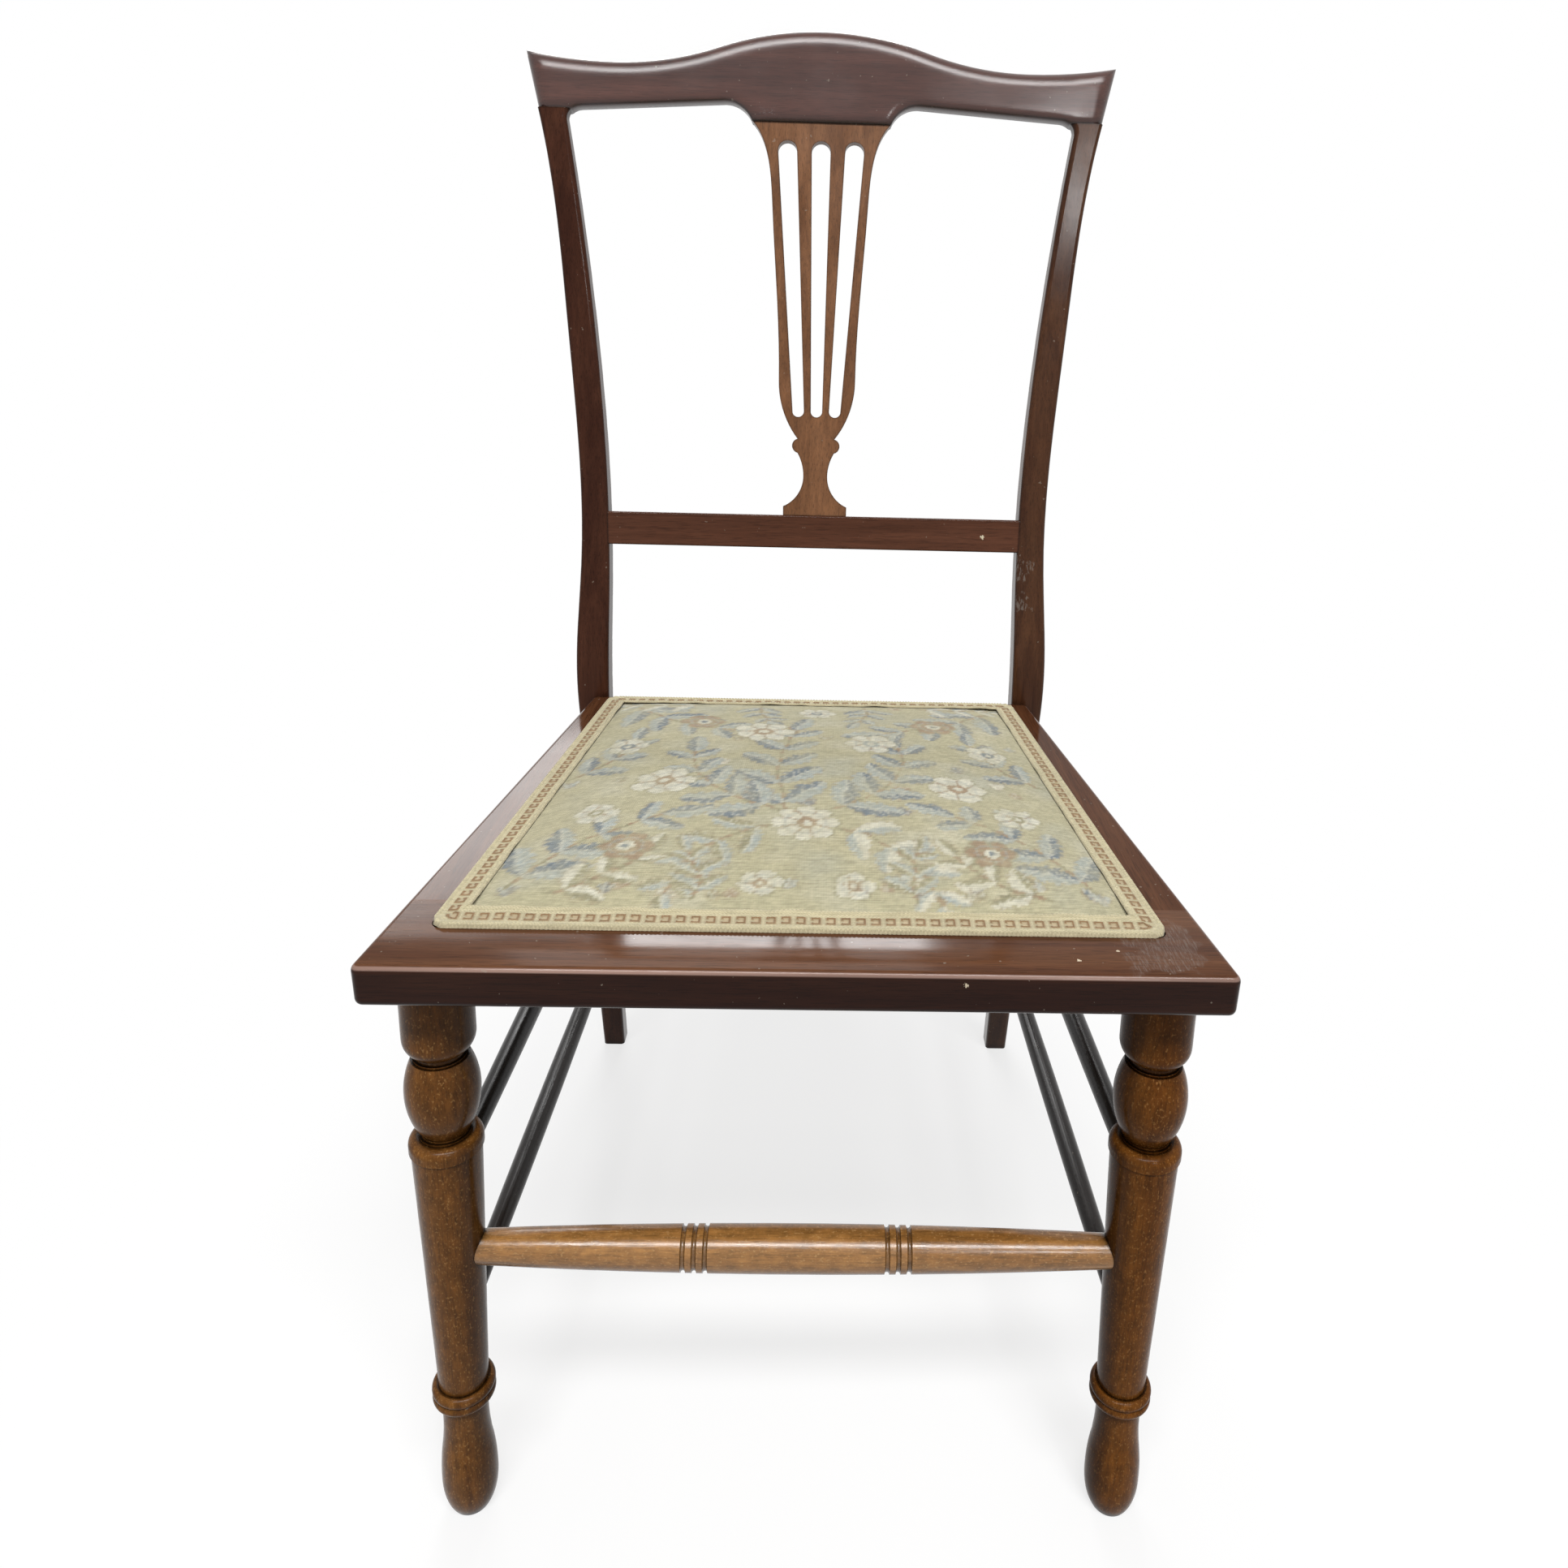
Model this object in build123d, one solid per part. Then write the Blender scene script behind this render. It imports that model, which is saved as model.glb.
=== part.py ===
from build123d import *
import math
import os

os.makedirs("parts", exist_ok=True)

# Child chair in millimetres. Z is up and the chair faces -Y.
# The origin is on the floor, in the middle of the chair's plan.

# Seat frame: four flat rails
seat_height = 307.0            # floor to the top of the frame
seat_depth = 303.0             # front edge to the front faces of the back legs
seat_front_width = 339.5
seat_back_width = 278.0
rail_thickness = 17.8
seat_top_round = 2.8
seat_bottom_round = 3.0
seat_corner_round = 3.4

# Rebate in the top of the frame, where the upholstery lies
front_border = 28.0            # polished wood left outside the rebate
back_border = 3.5
side_border_front = 17.8
side_border_back = 11.5
rebate_depth = 3.4
rebate_shelf = 22.0            # rebate floor, from its edge to the opening
rebate_corner_round = 5.0

# Turned front legs, with sizes measured along the leg
leg_top_inset = 20.2           # end of the front edge to the leg axis, under the frame
leg_splay = 3.9                # how far each leg leans out from there to the floor
leg_top_setback = 32.0         # front edge to the leg axis, under the frame
leg_floor_setback = 21.0
leg_tenon_radius = 7.0
leg_tenon_length = 10.0
block_length = 33.2            # these drops are measured down from the frame
block_radius = 14.9
upper_neck_drop = 41.0
upper_neck_radius = 10.2
ball_drop = 61.5
ball_radius = 15.5
lower_neck_drop = 79.5
lower_neck_radius = 10.2
collar_drop = 85.2
collar_height = 3.0
collar_radius = 15.5
shaft_top_radius = 14.7
shaft_bottom_radius = 11.0
ring_height = 69.0             # these heights are measured up from the floor
ring_radius = 14.0
ring_half_height = 4.8
ankle_height = 56.0
ankle_radius = 10.1
bulb_height = 17.5
bulb_radius = 12.7
foot_radius = 6.5
turning_step = 0.9             # small square steps left by the turner
ring_bead = 2.0

# Front stretcher, turned, with two groups of ring grooves
front_stretcher_height = 147.0
front_stretcher_end_radius = 6.8
front_stretcher_radius = 10.2
front_tenon_radius = 5.0
front_tenon_length = 12.0
groove_group_spread = 90.0
groove_pitch = 4.9
groove_radius = 1.1
grooves_in_group = 3

# Plain round rungs at the sides and the back
upper_rung_height = 182.0
lower_rung_height = 103.0
back_rung_height = 138.0
rung_radius = 5.6
rung_end_radius = 4.6
rung_tenon_length = 11.0

# Back legs, sawn in one piece from the floor to the crest rail
back_foot_splay = 9.7          # how far each foot stands outside the stile above it
back_foot_width = 15.5
back_foot_depth = 19.0
back_foot_setback = 58.5       # front face of the foot behind the seat frame
back_sweep_height = 188.0      # where the sweep to the foot would bend
stile_inset = 0.3              # corner of the seat frame to the middle of the stile
stile_width = 18.8
stile_depth = 20.0
knee_height = 25.0             # heights of the back are measured up from the seat
knee_width = 20.2
knee_blend = 22.0
back_rake = 9.5                # degrees
waist_height = 91.0
waist_lean = -2.7              # leans are measured out from the stile at the seat
waist_width = 17.4
shoulder_height = 222.0
shoulder_lean = 4.0
shoulder_width = 16.5
throat_drop = 6.2              # below the crest joint, where the inner corner begins
throat_lean = 19.0
throat_width = 15.7
stile_top_height = 347.0
stile_top_lean = 18.2
stile_top_width = 20.1
stile_round = 2.6
stile_back_round = 5.6

# Crest rail, with heights above its joint on the stiles
crest_overhang = 17.1          # middle of the stile's top to the tip of the ear
crest_ear_height = 32.7
crest_dip_height = 28.2
crest_dip_spread = 244.0
crest_top_height = 48.2
crest_arch_height = 7.0        # underside, beside the middle drop
crest_arch_spread = 114.0
crest_corner_rise = 1.7        # inner corner, where the round meets the underside
crest_corner_run = 4.9
crest_drop = 3.8               # middle part that carries the splat
crest_thickness = 13.5
crest_front_round = 7.2
crest_back_round = 4.8
crest_dowel_radius = 3.0
crest_dowel_length = 26.0

# Lower back rail
lower_rail_height = 96.6       # seat to the rail's lower edge
lower_rail_width = 20.2
lower_rail_thickness = 13.0
lower_rail_setback = 0.6
lower_rail_round = 1.2
lower_tenon_length = 9.0
lower_tenon_width = 12.0
lower_tenon_thickness = 6.0

# Pierced splat, with heights above the lower back rail
splat_thickness = 5.8
splat_setback = 1.2
splat_top_width = 82.0
splat_plinth_width = 39.2
splat_plinth_height = 5.5
splat_neck_width = 14.8
splat_neck_height = 24.0
splat_wing_width = 29.2
splat_wing_height = 42.5
splat_wing_half_height = 4.2
splat_wing_step = 3.3
splat_bowl_width = 46.6
splat_bowl_height = 81.0
splat_flare_width = 56.8
splat_flare_drop = 50.0         # below the top of the splat
splat_tenon_thickness = 3.4
splat_top_tenon_width = 64.0
splat_top_tenon_length = 9.0
splat_foot_tenon_width = 28.0
splat_foot_tenon_length = 8.0
slot_count = 3
slot_top_pitch = 19.9
slot_top_radius = 5.6
slot_top_drop = 16.0           # below the top of the splat
slot_foot_pitch = 11.2
slot_foot_radius = 3.5
slot_foot_height = 63.3

# Joints of the seat frame
dowel_radius = 3.5
corner_dowels = 2              # in each front joint
front_dowel_reach = 8.0        # depth of a dowel in the front rail
side_dowel_reach = 16.0        # depth of a dowel in the end of a side rail
back_dowel_reach = 15.0        # depth of a dowel on each side of a back rail joint
dowel_edge_distance = 9.0      # first dowel from the rail's inner edge
dowel_pitch = 14.0
back_dowel_pitch = 12.0
side_tenon_length = 14.0
side_tenon_width = 8.0
side_tenon_height = 9.0
glue_gap = 0.1                 # clearance all round in a glued joint

# Upholstery, from the webbing up
web_width = 46.0
web_thickness = 1.0
web_count = 3
web_pitch_across = 62.0        # between lengthwise strips
web_pitch_along = 62.0         # between crosswise strips
web_end_margin = 4.0           # strip ends stay inside the rebate
tack_head_radius = 2.4
tack_head_sides = 8
tack_head_thickness = 0.6
tack_shank = 1.4
tack_length = 8.0
tack_pitch = 24.0
tack_end_distance = 8.0        # strip end to the tack
tack_gap = 0.05
hessian_thickness = 0.6
hessian_margin = 2.0
pad_crown = 11.0
pad_edge_height = 3.0
pad_crown_run = 100.0          # plan distance over which the crown rises
pad_corner_round = 8.0
pad_sections = 5
cover_thickness = 0.9
cover_margin = 0.6
gimp_width = 12.5
gimp_thickness = 1.6

# Places that follow from the sizes above
leg_top_spread = seat_front_width - 2 * leg_top_inset
leg_floor_spread = leg_top_spread + 2 * leg_splay
stile_spread = seat_back_width - 2 * stile_inset
back_foot_spread = stile_spread + 2 * back_foot_splay
waist_spread = stile_spread + 2 * waist_lean
shoulder_spread = stile_spread + 2 * shoulder_lean
throat_spread = stile_spread + 2 * throat_lean
stile_top_spread = stile_spread + 2 * stile_top_lean
crest_width = stile_top_spread + 2 * crest_overhang
overall_depth = seat_depth + back_foot_setback + back_foot_depth
front_y = -overall_depth / 2
seat_back_y = front_y + seat_depth
rail_bottom = seat_height - rail_thickness
rebate_floor = seat_height - rebate_depth
knee_z = seat_height + knee_height
rake_cos = math.cos(math.radians(back_rake))
rake_sin = math.sin(math.radians(back_rake))
rake_tan = math.tan(math.radians(back_rake))
beyond = 400.0                 # larger than the chair, for cutting

# The back is drawn flat in this plane: x across, y up the rake, z out of the front
back_frame = Plane(
    origin=(0, seat_back_y, knee_z),
    x_dir=(1, 0, 0),
    z_dir=(0, -rake_cos, rake_sin),
)


def up_rake(height):
    """Distance up the raked back for a height above the seat."""
    return (height - knee_height) / rake_cos


crest_joint = up_rake(stile_top_height)
lower_rail_foot = up_rake(lower_rail_height)
lower_rail_top = lower_rail_foot + lower_rail_width
splat_top = crest_joint - crest_drop


def block(low, high, grow=0.0):
    """Box between two corners, grown all round."""
    size = [b - a + 2 * grow for a, b in zip(low, high)]
    middle = [(a + b) / 2 for a, b in zip(low, high)]
    return Pos(*middle) * Box(*size)


def rod(start, end, radius, grow=0.0):
    """Round bar between two points, grown all round."""
    along = (Vector(*end) - Vector(*start)).normalized()
    foot = Vector(*start) - along * grow
    length = (Vector(*end) - Vector(*start)).length + 2 * grow
    return extrude(Plane(origin=foot, z_dir=along) * Circle(radius + grow), length)


def both_sides(right):
    """A right-hand shape together with its mirror image."""
    return right, mirror(right, about=Plane.YZ)


# Seat frame

def seat_half_width(run):
    """Half the frame's width at a distance behind the front edge."""
    return (seat_front_width + (seat_back_width - seat_front_width) * run / seat_depth) / 2


def rebate_corners():
    """Plan corners of the rebate, front left first, anticlockwise."""
    back_run = seat_depth - back_border
    front_half = seat_half_width(front_border) - side_border_front
    back_half = seat_half_width(back_run) - side_border_back
    front = front_y + front_border
    back = front_y + back_run
    return [(-front_half, front), (front_half, front), (back_half, back), (-back_half, back)]


def rebate_half_width(y, inset=0.0):
    """Half the rebate's width at a place along the seat, less an inset from its slanted side."""
    (front_half, front), (back_half, back) = rebate_corners()[1:3]
    slope = (back_half - front_half) / (back - front)
    return front_half + slope * (y - front) - inset * math.hypot(1, slope)


def rebate_plan(inset):
    """The rebate's plan, drawn in by an inset, with sharp corners."""
    front = rebate_corners()[0][1] + inset
    back = rebate_corners()[2][1] - inset
    front_half = rebate_half_width(front, inset)
    back_half = rebate_half_width(back, inset)
    return Polygon((-front_half, front), (front_half, front), (back_half, back), (-back_half, back))


def rebate_outline(inset, corner_round):
    """The rebate's plan, drawn in by an inset, with rounded corners."""
    return fillet(rebate_plan(inset).vertices(), corner_round)


def frame_blank():
    """The whole seat frame before it is parted into rails."""
    half_front = seat_front_width / 2
    half_back = seat_back_width / 2
    plan = Polygon(
        (-half_front, front_y),
        (half_front, front_y),
        (half_back, seat_back_y),
        (-half_back, seat_back_y),
    )
    plan = fillet(plan.vertices().group_by(Axis.Y)[0], seat_corner_round)
    blank = extrude(Pos(0, 0, rail_bottom) * plan, rail_thickness)
    outer = blank.edges().filter_by(lambda edge: edge.center().Y < seat_back_y - seat_corner_round)
    blank = fillet(outer.group_by(Axis.Z)[-1], seat_top_round)
    outer = blank.edges().filter_by(lambda edge: edge.center().Y < seat_back_y - seat_corner_round)
    blank = fillet(outer.group_by(Axis.Z)[0], seat_bottom_round)
    rebate = rebate_outline(0, rebate_corner_round)
    opening = rebate_plan(rebate_shelf)
    blank -= extrude(Pos(0, 0, rebate_floor) * rebate, rail_thickness)
    blank -= extrude(Pos(0, 0, rail_bottom) * opening, rail_thickness)
    return blank


# The rails meet at the corners of the opening
front_joint_y = front_y + front_border + rebate_shelf
front_joint_x = rebate_half_width(front_joint_y, rebate_shelf)
back_joint_y = seat_back_y - back_border - rebate_shelf
back_joint_x = rebate_half_width(back_joint_y, rebate_shelf)
dowel_z = (rail_bottom + rebate_floor) / 2


def seat_dowel_axes():
    """Start and end of every dowel of the seat frame, right-hand side."""
    axes = []
    for number in range(corner_dowels):
        x = front_joint_x + dowel_edge_distance + number * dowel_pitch
        start = (x, front_joint_y - front_dowel_reach, dowel_z)
        end = (x, front_joint_y + side_dowel_reach, dowel_z)
        axes.append((start, end))
    middle_y = (back_joint_y + seat_back_y) / 2
    for sign in (-1, 1):
        y = middle_y + sign * back_dowel_pitch / 2
        start = (back_joint_x - back_dowel_reach, y, dowel_z)
        end = (back_joint_x + back_dowel_reach, y, dowel_z)
        axes.append((start, end))
    return axes


def side_tenon(grow=0.0):
    """Tenon of the right side rail into the back leg."""
    inner = stile_spread / 2 - stile_width / 2
    middle = (inner + seat_back_width / 2) / 2
    low = (middle - side_tenon_width / 2, seat_back_y, dowel_z - side_tenon_height / 2)
    high = (
        middle + side_tenon_width / 2,
        seat_back_y + side_tenon_length,
        dowel_z + side_tenon_height / 2,
    )
    return block(low, high, grow)


# Front legs

def leg_point(height):
    """Point on the right front leg's axis at a height above the floor."""
    share = height / rail_bottom
    x = (leg_floor_spread + (leg_top_spread - leg_floor_spread) * share) / 2
    y = front_y + leg_floor_setback + (leg_top_setback - leg_floor_setback) * share
    return (x, y, height)


leg_axis = Vector(*leg_point(rail_bottom)) - Vector(*leg_point(0))


def leg_radius_at(height):
    """Radius of the tapering shaft at a height above the floor."""
    foot = ring_height + ring_half_height
    top = leg_axis.length - collar_drop - collar_height
    share = (height - foot) / (top - foot)
    return shaft_bottom_radius + (shaft_top_radius - shaft_bottom_radius) * share


def leg_profile():
    """Half section of the turned leg, as radius and distance from the floor."""
    top = leg_axis.length
    spare = turning_step * 4       # trimmed flat at the floor and under the frame
    ankle_run = ankle_height - bulb_height
    ring_foot = ring_height - ring_half_height
    ring_top = ring_height + ring_half_height
    collar = top - collar_drop
    shaft_top = collar - collar_height
    lower_neck = top - lower_neck_drop
    ball_top = top - upper_neck_drop - 3 * turning_step
    upper_neck = top - upper_neck_drop
    block_foot = top - block_length
    bead_middle = ring_radius - turning_step
    edges = [
        Line((0, -spare), (foot_radius, -spare)),
        Bezier((foot_radius, -spare), (bulb_radius, spare), (bulb_radius, bulb_height)),
        Bezier(
            (bulb_radius, bulb_height),
            (bulb_radius, bulb_height + ankle_run / 2),
            (ankle_radius, ankle_height - ankle_run / 2),
            (ankle_radius, ankle_height),
        ),
        Line((ankle_radius, ankle_height), (ankle_radius, ring_foot)),
        Line((ankle_radius, ring_foot), (ring_radius - ring_bead, ring_foot)),
        ThreePointArc(
            (ring_radius - ring_bead, ring_foot),
            (ring_radius, ring_height - ring_half_height / 2),
            (bead_middle, ring_height),
        ),
        ThreePointArc(
            (bead_middle, ring_height),
            (ring_radius, ring_height + ring_half_height / 2),
            (ring_radius - ring_bead, ring_top),
        ),
        Line((ring_radius - ring_bead, ring_top), (shaft_bottom_radius, ring_top)),
        Line((shaft_bottom_radius, ring_top), (shaft_top_radius, shaft_top)),
        Line((shaft_top_radius, shaft_top), (collar_radius, shaft_top)),
        Line((collar_radius, shaft_top), (collar_radius, collar)),
        TangentArc(
            (collar_radius, collar),
            (lower_neck_radius + 2 * turning_step, lower_neck - 2 * turning_step),
            tangent=(0, 1),
        ),
        Line(
            (lower_neck_radius + 2 * turning_step, lower_neck - 2 * turning_step),
            (lower_neck_radius + turning_step, lower_neck - 2 * turning_step),
        ),
        Line(
            (lower_neck_radius + turning_step, lower_neck - 2 * turning_step),
            (lower_neck_radius + turning_step, lower_neck - turning_step),
        ),
        Line(
            (lower_neck_radius + turning_step, lower_neck - turning_step),
            (lower_neck_radius, lower_neck - turning_step),
        ),
        Line((lower_neck_radius, lower_neck - turning_step), (lower_neck_radius, lower_neck)),
        ThreePointArc(
            (lower_neck_radius, lower_neck),
            (ball_radius, top - ball_drop),
            (upper_neck_radius + 2 * turning_step, ball_top),
        ),
        Line(
            (upper_neck_radius + 2 * turning_step, ball_top),
            (upper_neck_radius + turning_step, ball_top),
        ),
        Line(
            (upper_neck_radius + turning_step, ball_top),
            (upper_neck_radius + turning_step, ball_top + turning_step),
        ),
        Line(
            (upper_neck_radius + turning_step, ball_top + turning_step),
            (upper_neck_radius, ball_top + turning_step),
        ),
        Line((upper_neck_radius, ball_top + turning_step), (upper_neck_radius, upper_neck)),
        TangentArc((block_radius, block_foot), (upper_neck_radius, upper_neck), tangent=(0, -1)),
        Line((block_radius, block_foot), (block_radius, top + spare)),
        Line((block_radius, top + spare), (0, top + spare)),
        Line((0, top + spare), (0, -spare)),
    ]
    return Plane.XZ * make_face(edges)


def front_leg_blank():
    """Right front leg without its tenon and sockets."""
    turned = revolve(leg_profile(), Axis.Z)
    leg = Plane(origin=leg_point(0), x_dir=(1, 0, 0), z_dir=leg_axis) * turned
    return leg & block((-beyond, -beyond, 0), (beyond, beyond, rail_bottom))


def leg_tenon(grow=0.0):
    """Round tenon of the right front leg into the seat frame."""
    foot = Vector(*leg_point(rail_bottom)) - leg_axis.normalized() * leg_tenon_length
    end = Vector(*leg_point(rail_bottom)) + leg_axis.normalized() * leg_tenon_length
    return rod(foot, end, leg_tenon_radius, grow)


# Back legs

def back_leg_stations():
    """Height, middle and width of the right back leg, seen from the front."""
    return [
        (rail_bottom, stile_spread / 2, stile_width),
        (knee_z, stile_spread / 2, knee_width),
        (seat_height + waist_height, waist_spread / 2, waist_width),
        (seat_height + shoulder_height, shoulder_spread / 2, shoulder_width),
        (seat_height + stile_top_height - throat_drop, throat_spread / 2, throat_width),
        (seat_height + stile_top_height, stile_top_spread / 2, stile_top_width),
    ]


def back_leg_front_profile():
    """Outline of the right back leg seen from the front, as x and z."""
    foot_middle = back_foot_spread / 2
    stations = back_leg_stations()
    outer = [(middle + width / 2, height) for height, middle, width in stations]
    inner = [(middle - width / 2, height) for height, middle, width in stations]
    ear = (crest_width / 2, seat_height + stile_top_height + crest_ear_height * rake_cos)
    inner_end = (inner[-1][0], ear[1])
    inner_edge = Spline(*inner[:-1])
    outer_foot = (foot_middle + back_foot_width / 2, 0)
    inner_foot = (foot_middle - back_foot_width / 2, 0)
    edges = [
        Line(inner_foot, outer_foot),
        Line(outer_foot, outer[0]),
        Spline(*outer, ear),
        Line(ear, inner_end),
        Line(inner_end, inner[-1]),
        TangentArc(inner[-2], inner[-1], tangent=inner_edge % 1),
        inner_edge,
        Line(inner[0], inner_foot),
    ]
    return Plane.XZ * make_face(edges)


def side_edge(depth_at_foot, depth_at_seat, depth_at_top):
    """Front or back edge of a back leg seen from the side, from foot to top, as y and z."""
    foot = (seat_back_y + back_foot_setback + depth_at_foot, 0)
    straight_y = seat_back_y + depth_at_seat
    rise = (stile_top_height + crest_ear_height - knee_height) / rake_cos
    top = (
        seat_back_y + rise * rake_sin + depth_at_top * rake_cos,
        knee_z + rise * rake_cos - depth_at_top * rake_sin,
    )
    knee = (straight_y, knee_z - depth_at_seat * rake_tan / 2)
    toward_top = (Vector(*top) - Vector(*knee)).normalized() * knee_blend
    blend_start = (straight_y, knee[1] - knee_blend)
    blend_end = (knee[0] + toward_top.X, knee[1] + toward_top.Y)
    return [
        Bezier(foot, (straight_y, back_sweep_height), (straight_y, rail_bottom - knee_blend)),
        Line((straight_y, rail_bottom - knee_blend), blend_start),
        Bezier(blend_start, knee, blend_end),
        Line(blend_end, top),
    ]


def back_leg_side_profile():
    """Outline of a back leg seen from the side."""
    front = side_edge(0, 0, 0)
    back = side_edge(back_foot_depth, stile_depth, crest_thickness)
    ends = [
        Line(front[0] @ 0, back[0] @ 0),
        Line(front[-1] @ 1, back[-1] @ 1),
    ]
    return Plane.YZ * make_face(front + back + ends)


def long_edges(leg, side):
    """Long edges of a back leg's front face (side -1) or back face (side 1)."""
    faces = leg.faces().filter_by(lambda face: face.normal_at().Y * side > rake_cos / 2)
    tall = faces.filter_by(lambda face: face.bounding_box().size.Z > stile_depth / 2)
    return tall.edges().filter_by(lambda edge: edge.bounding_box().size.Z > stile_depth / 2)


def back_leg_blank():
    """Right back leg without its mortises."""
    leg = extrude(back_leg_front_profile(), beyond, both=True)
    leg &= extrude(back_leg_side_profile(), beyond, both=True)
    above = block((-beyond, crest_joint, -beyond), (beyond, crest_joint + beyond, beyond))
    leg -= back_frame * above
    leg = fillet(long_edges(leg, -1), stile_round)
    return fillet(long_edges(leg, 1), stile_back_round)


def back_leg_place(height):
    """Middle x, front y and back y of the right back leg below the seat."""
    share = height / rail_bottom
    x = (back_foot_spread + (stile_spread - back_foot_spread) * share) / 2
    front = side_edge(0, 0, 0)[0]
    back = side_edge(back_foot_depth, stile_depth, crest_thickness)[0]
    level = Line((-beyond, height), (beyond, height))
    front_y_here = front.find_intersection_points(level)[0].X
    back_y_here = back.find_intersection_points(level)[0].X
    return x, front_y_here, back_y_here


# Stretchers

def rung(start, end):
    """Round rung with straight ends and a slight swell, between two points."""
    length = (Vector(*end) - Vector(*start)).length
    edges = [
        Line((0, 0), (rung_end_radius, 0)),
        Line((rung_end_radius, 0), (rung_end_radius, rung_tenon_length)),
        ThreePointArc(
            (rung_end_radius, rung_tenon_length),
            (rung_radius, length / 2),
            (rung_end_radius, length - rung_tenon_length),
        ),
        Line((rung_end_radius, length - rung_tenon_length), (rung_end_radius, length)),
        Line((rung_end_radius, length), (0, length)),
        Line((0, length), (0, 0)),
    ]
    turned = revolve(Plane.XZ * make_face(edges), Axis.Z)
    along = Vector(*end) - Vector(*start)
    return Plane(origin=start, x_dir=(0, 0, 1), z_dir=along) * turned


def side_rung_ends(height):
    """Ends of a right-hand side rung, seated in both legs."""
    leg_x, leg_y, leg_z = leg_point(height)
    start_y = leg_y + leg_radius_at(height) - rung_tenon_length
    back_x, back_front_y, back_rear_y = back_leg_place(height)
    return (leg_x, start_y, leg_z), (back_x, back_front_y + rung_tenon_length, height)


def back_rung_ends():
    """Ends of the rung between the two back legs."""
    x, front, rear = back_leg_place(back_rung_height)
    reach = x - back_foot_width / 2 + rung_tenon_length
    y = (front + rear) / 2
    return (-reach, y, back_rung_height), (reach, y, back_rung_height)


def front_stretcher_radius_at(x):
    """Radius of the swelling stretcher at a distance from its middle."""
    half = leg_point(front_stretcher_height)[0]
    swell = front_stretcher_radius - front_stretcher_end_radius
    round_radius = (half ** 2 + swell ** 2) / (2 * swell)
    return front_stretcher_radius - round_radius + math.sqrt(round_radius ** 2 - x ** 2)


def groove_places():
    """Distances of the ring grooves from the stretcher's middle."""
    places = []
    for side in (-1, 1):
        for number in range(grooves_in_group):
            step = number - (grooves_in_group - 1) / 2
            places.append(side * groove_group_spread / 2 + step * groove_pitch)
    return places


def front_tenons(grow=0.0):
    """Round tenons of the front stretcher, as one bar from leg to leg."""
    x, y, z = leg_point(front_stretcher_height)
    reach = x - leg_radius_at(front_stretcher_height) + front_tenon_length
    return rod((-reach, y, z), (reach, y, z), front_tenon_radius, grow)


def front_stretcher_solid(leg_pair):
    """Turned front stretcher, coped to the legs, with its tenons."""
    x, y, z = leg_point(front_stretcher_height)
    edges = [
        Line((-x, 0), (-x, front_stretcher_end_radius)),
        ThreePointArc(
            (-x, front_stretcher_end_radius),
            (0, front_stretcher_radius),
            (x, front_stretcher_end_radius),
        ),
        Line((x, front_stretcher_end_radius), (x, 0)),
        Line((x, 0), (-x, 0)),
    ]
    body = revolve(make_face(edges), Axis.X)
    for place in groove_places():
        ring = Pos(place, front_stretcher_radius_at(place)) * Circle(groove_radius)
        body -= revolve(ring, Axis.X)
    body = Pos(0, y, z) * body
    for leg in leg_pair:
        body -= leg
    middle = body.solids().sort_by(lambda solid: abs(solid.center().X))[0]
    return middle + front_tenons()


# Crest rail, splat and lower back rail, drawn flat in the back's plane

def mirrored_outline(half_edges):
    """Face from the right half of an outline and its mirror image."""
    left = [mirror(edge, about=Plane.YZ) for edge in half_edges]
    return make_face(half_edges + left)


def crest_outline():
    """Right half of the crest rail's outline."""
    joint_inner = stile_top_spread / 2 - stile_top_width / 2
    joint_outer = stile_top_spread / 2 + stile_top_width / 2
    drop = (splat_top_width / 2, splat_top)
    arch = (crest_arch_spread / 2, crest_joint + crest_arch_height)
    corner = (joint_inner - crest_corner_run, crest_joint + crest_corner_rise)
    underside = Line(arch, corner)
    ear = (crest_width / 2, crest_joint + crest_ear_height)
    dip = (crest_dip_spread / 2, crest_joint + crest_dip_height)
    top = (0, crest_joint + crest_top_height)
    turn = ((dip[0] + top[0]) / 2, (dip[1] + top[1]) / 2)
    return [
        Line((0, splat_top), drop),
        TangentArc(arch, drop, tangent=(-1, 0)),
        underside,
        TangentArc(corner, (joint_inner, crest_joint), tangent=underside % 1),
        Line((joint_inner, crest_joint), (joint_outer, crest_joint)),
        Line((joint_outer, crest_joint), ear),
        TangentArc(dip, ear, tangent=(1, 0)),
        TangentArc(dip, turn, tangent=(-1, 0)),
        TangentArc(top, turn, tangent=(1, 0)),
    ]


def splat_tenons(grow=0.0):
    """Top and foot tenons of the splat, flush with its back."""
    rear = -splat_setback - splat_thickness
    front = rear + splat_tenon_thickness
    half_top = splat_top_tenon_width / 2
    half_foot = splat_foot_tenon_width / 2
    upper = block(
        (-half_top, splat_top, rear),
        (half_top, splat_top + splat_top_tenon_length, front),
        grow,
    )
    lower = block(
        (-half_foot, lower_rail_top - splat_foot_tenon_length, rear),
        (half_foot, lower_rail_top, front),
        grow,
    )
    return upper, lower


def crest_dowels(grow=0.0):
    """The two dowels between the stiles and the crest rail."""
    x = stile_top_spread / 2
    half = crest_dowel_length / 2
    depth = -crest_thickness / 2
    right = rod(
        (x, crest_joint - half, depth),
        (x, crest_joint + half, depth),
        crest_dowel_radius,
        grow,
    )
    return both_sides(right)


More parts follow.
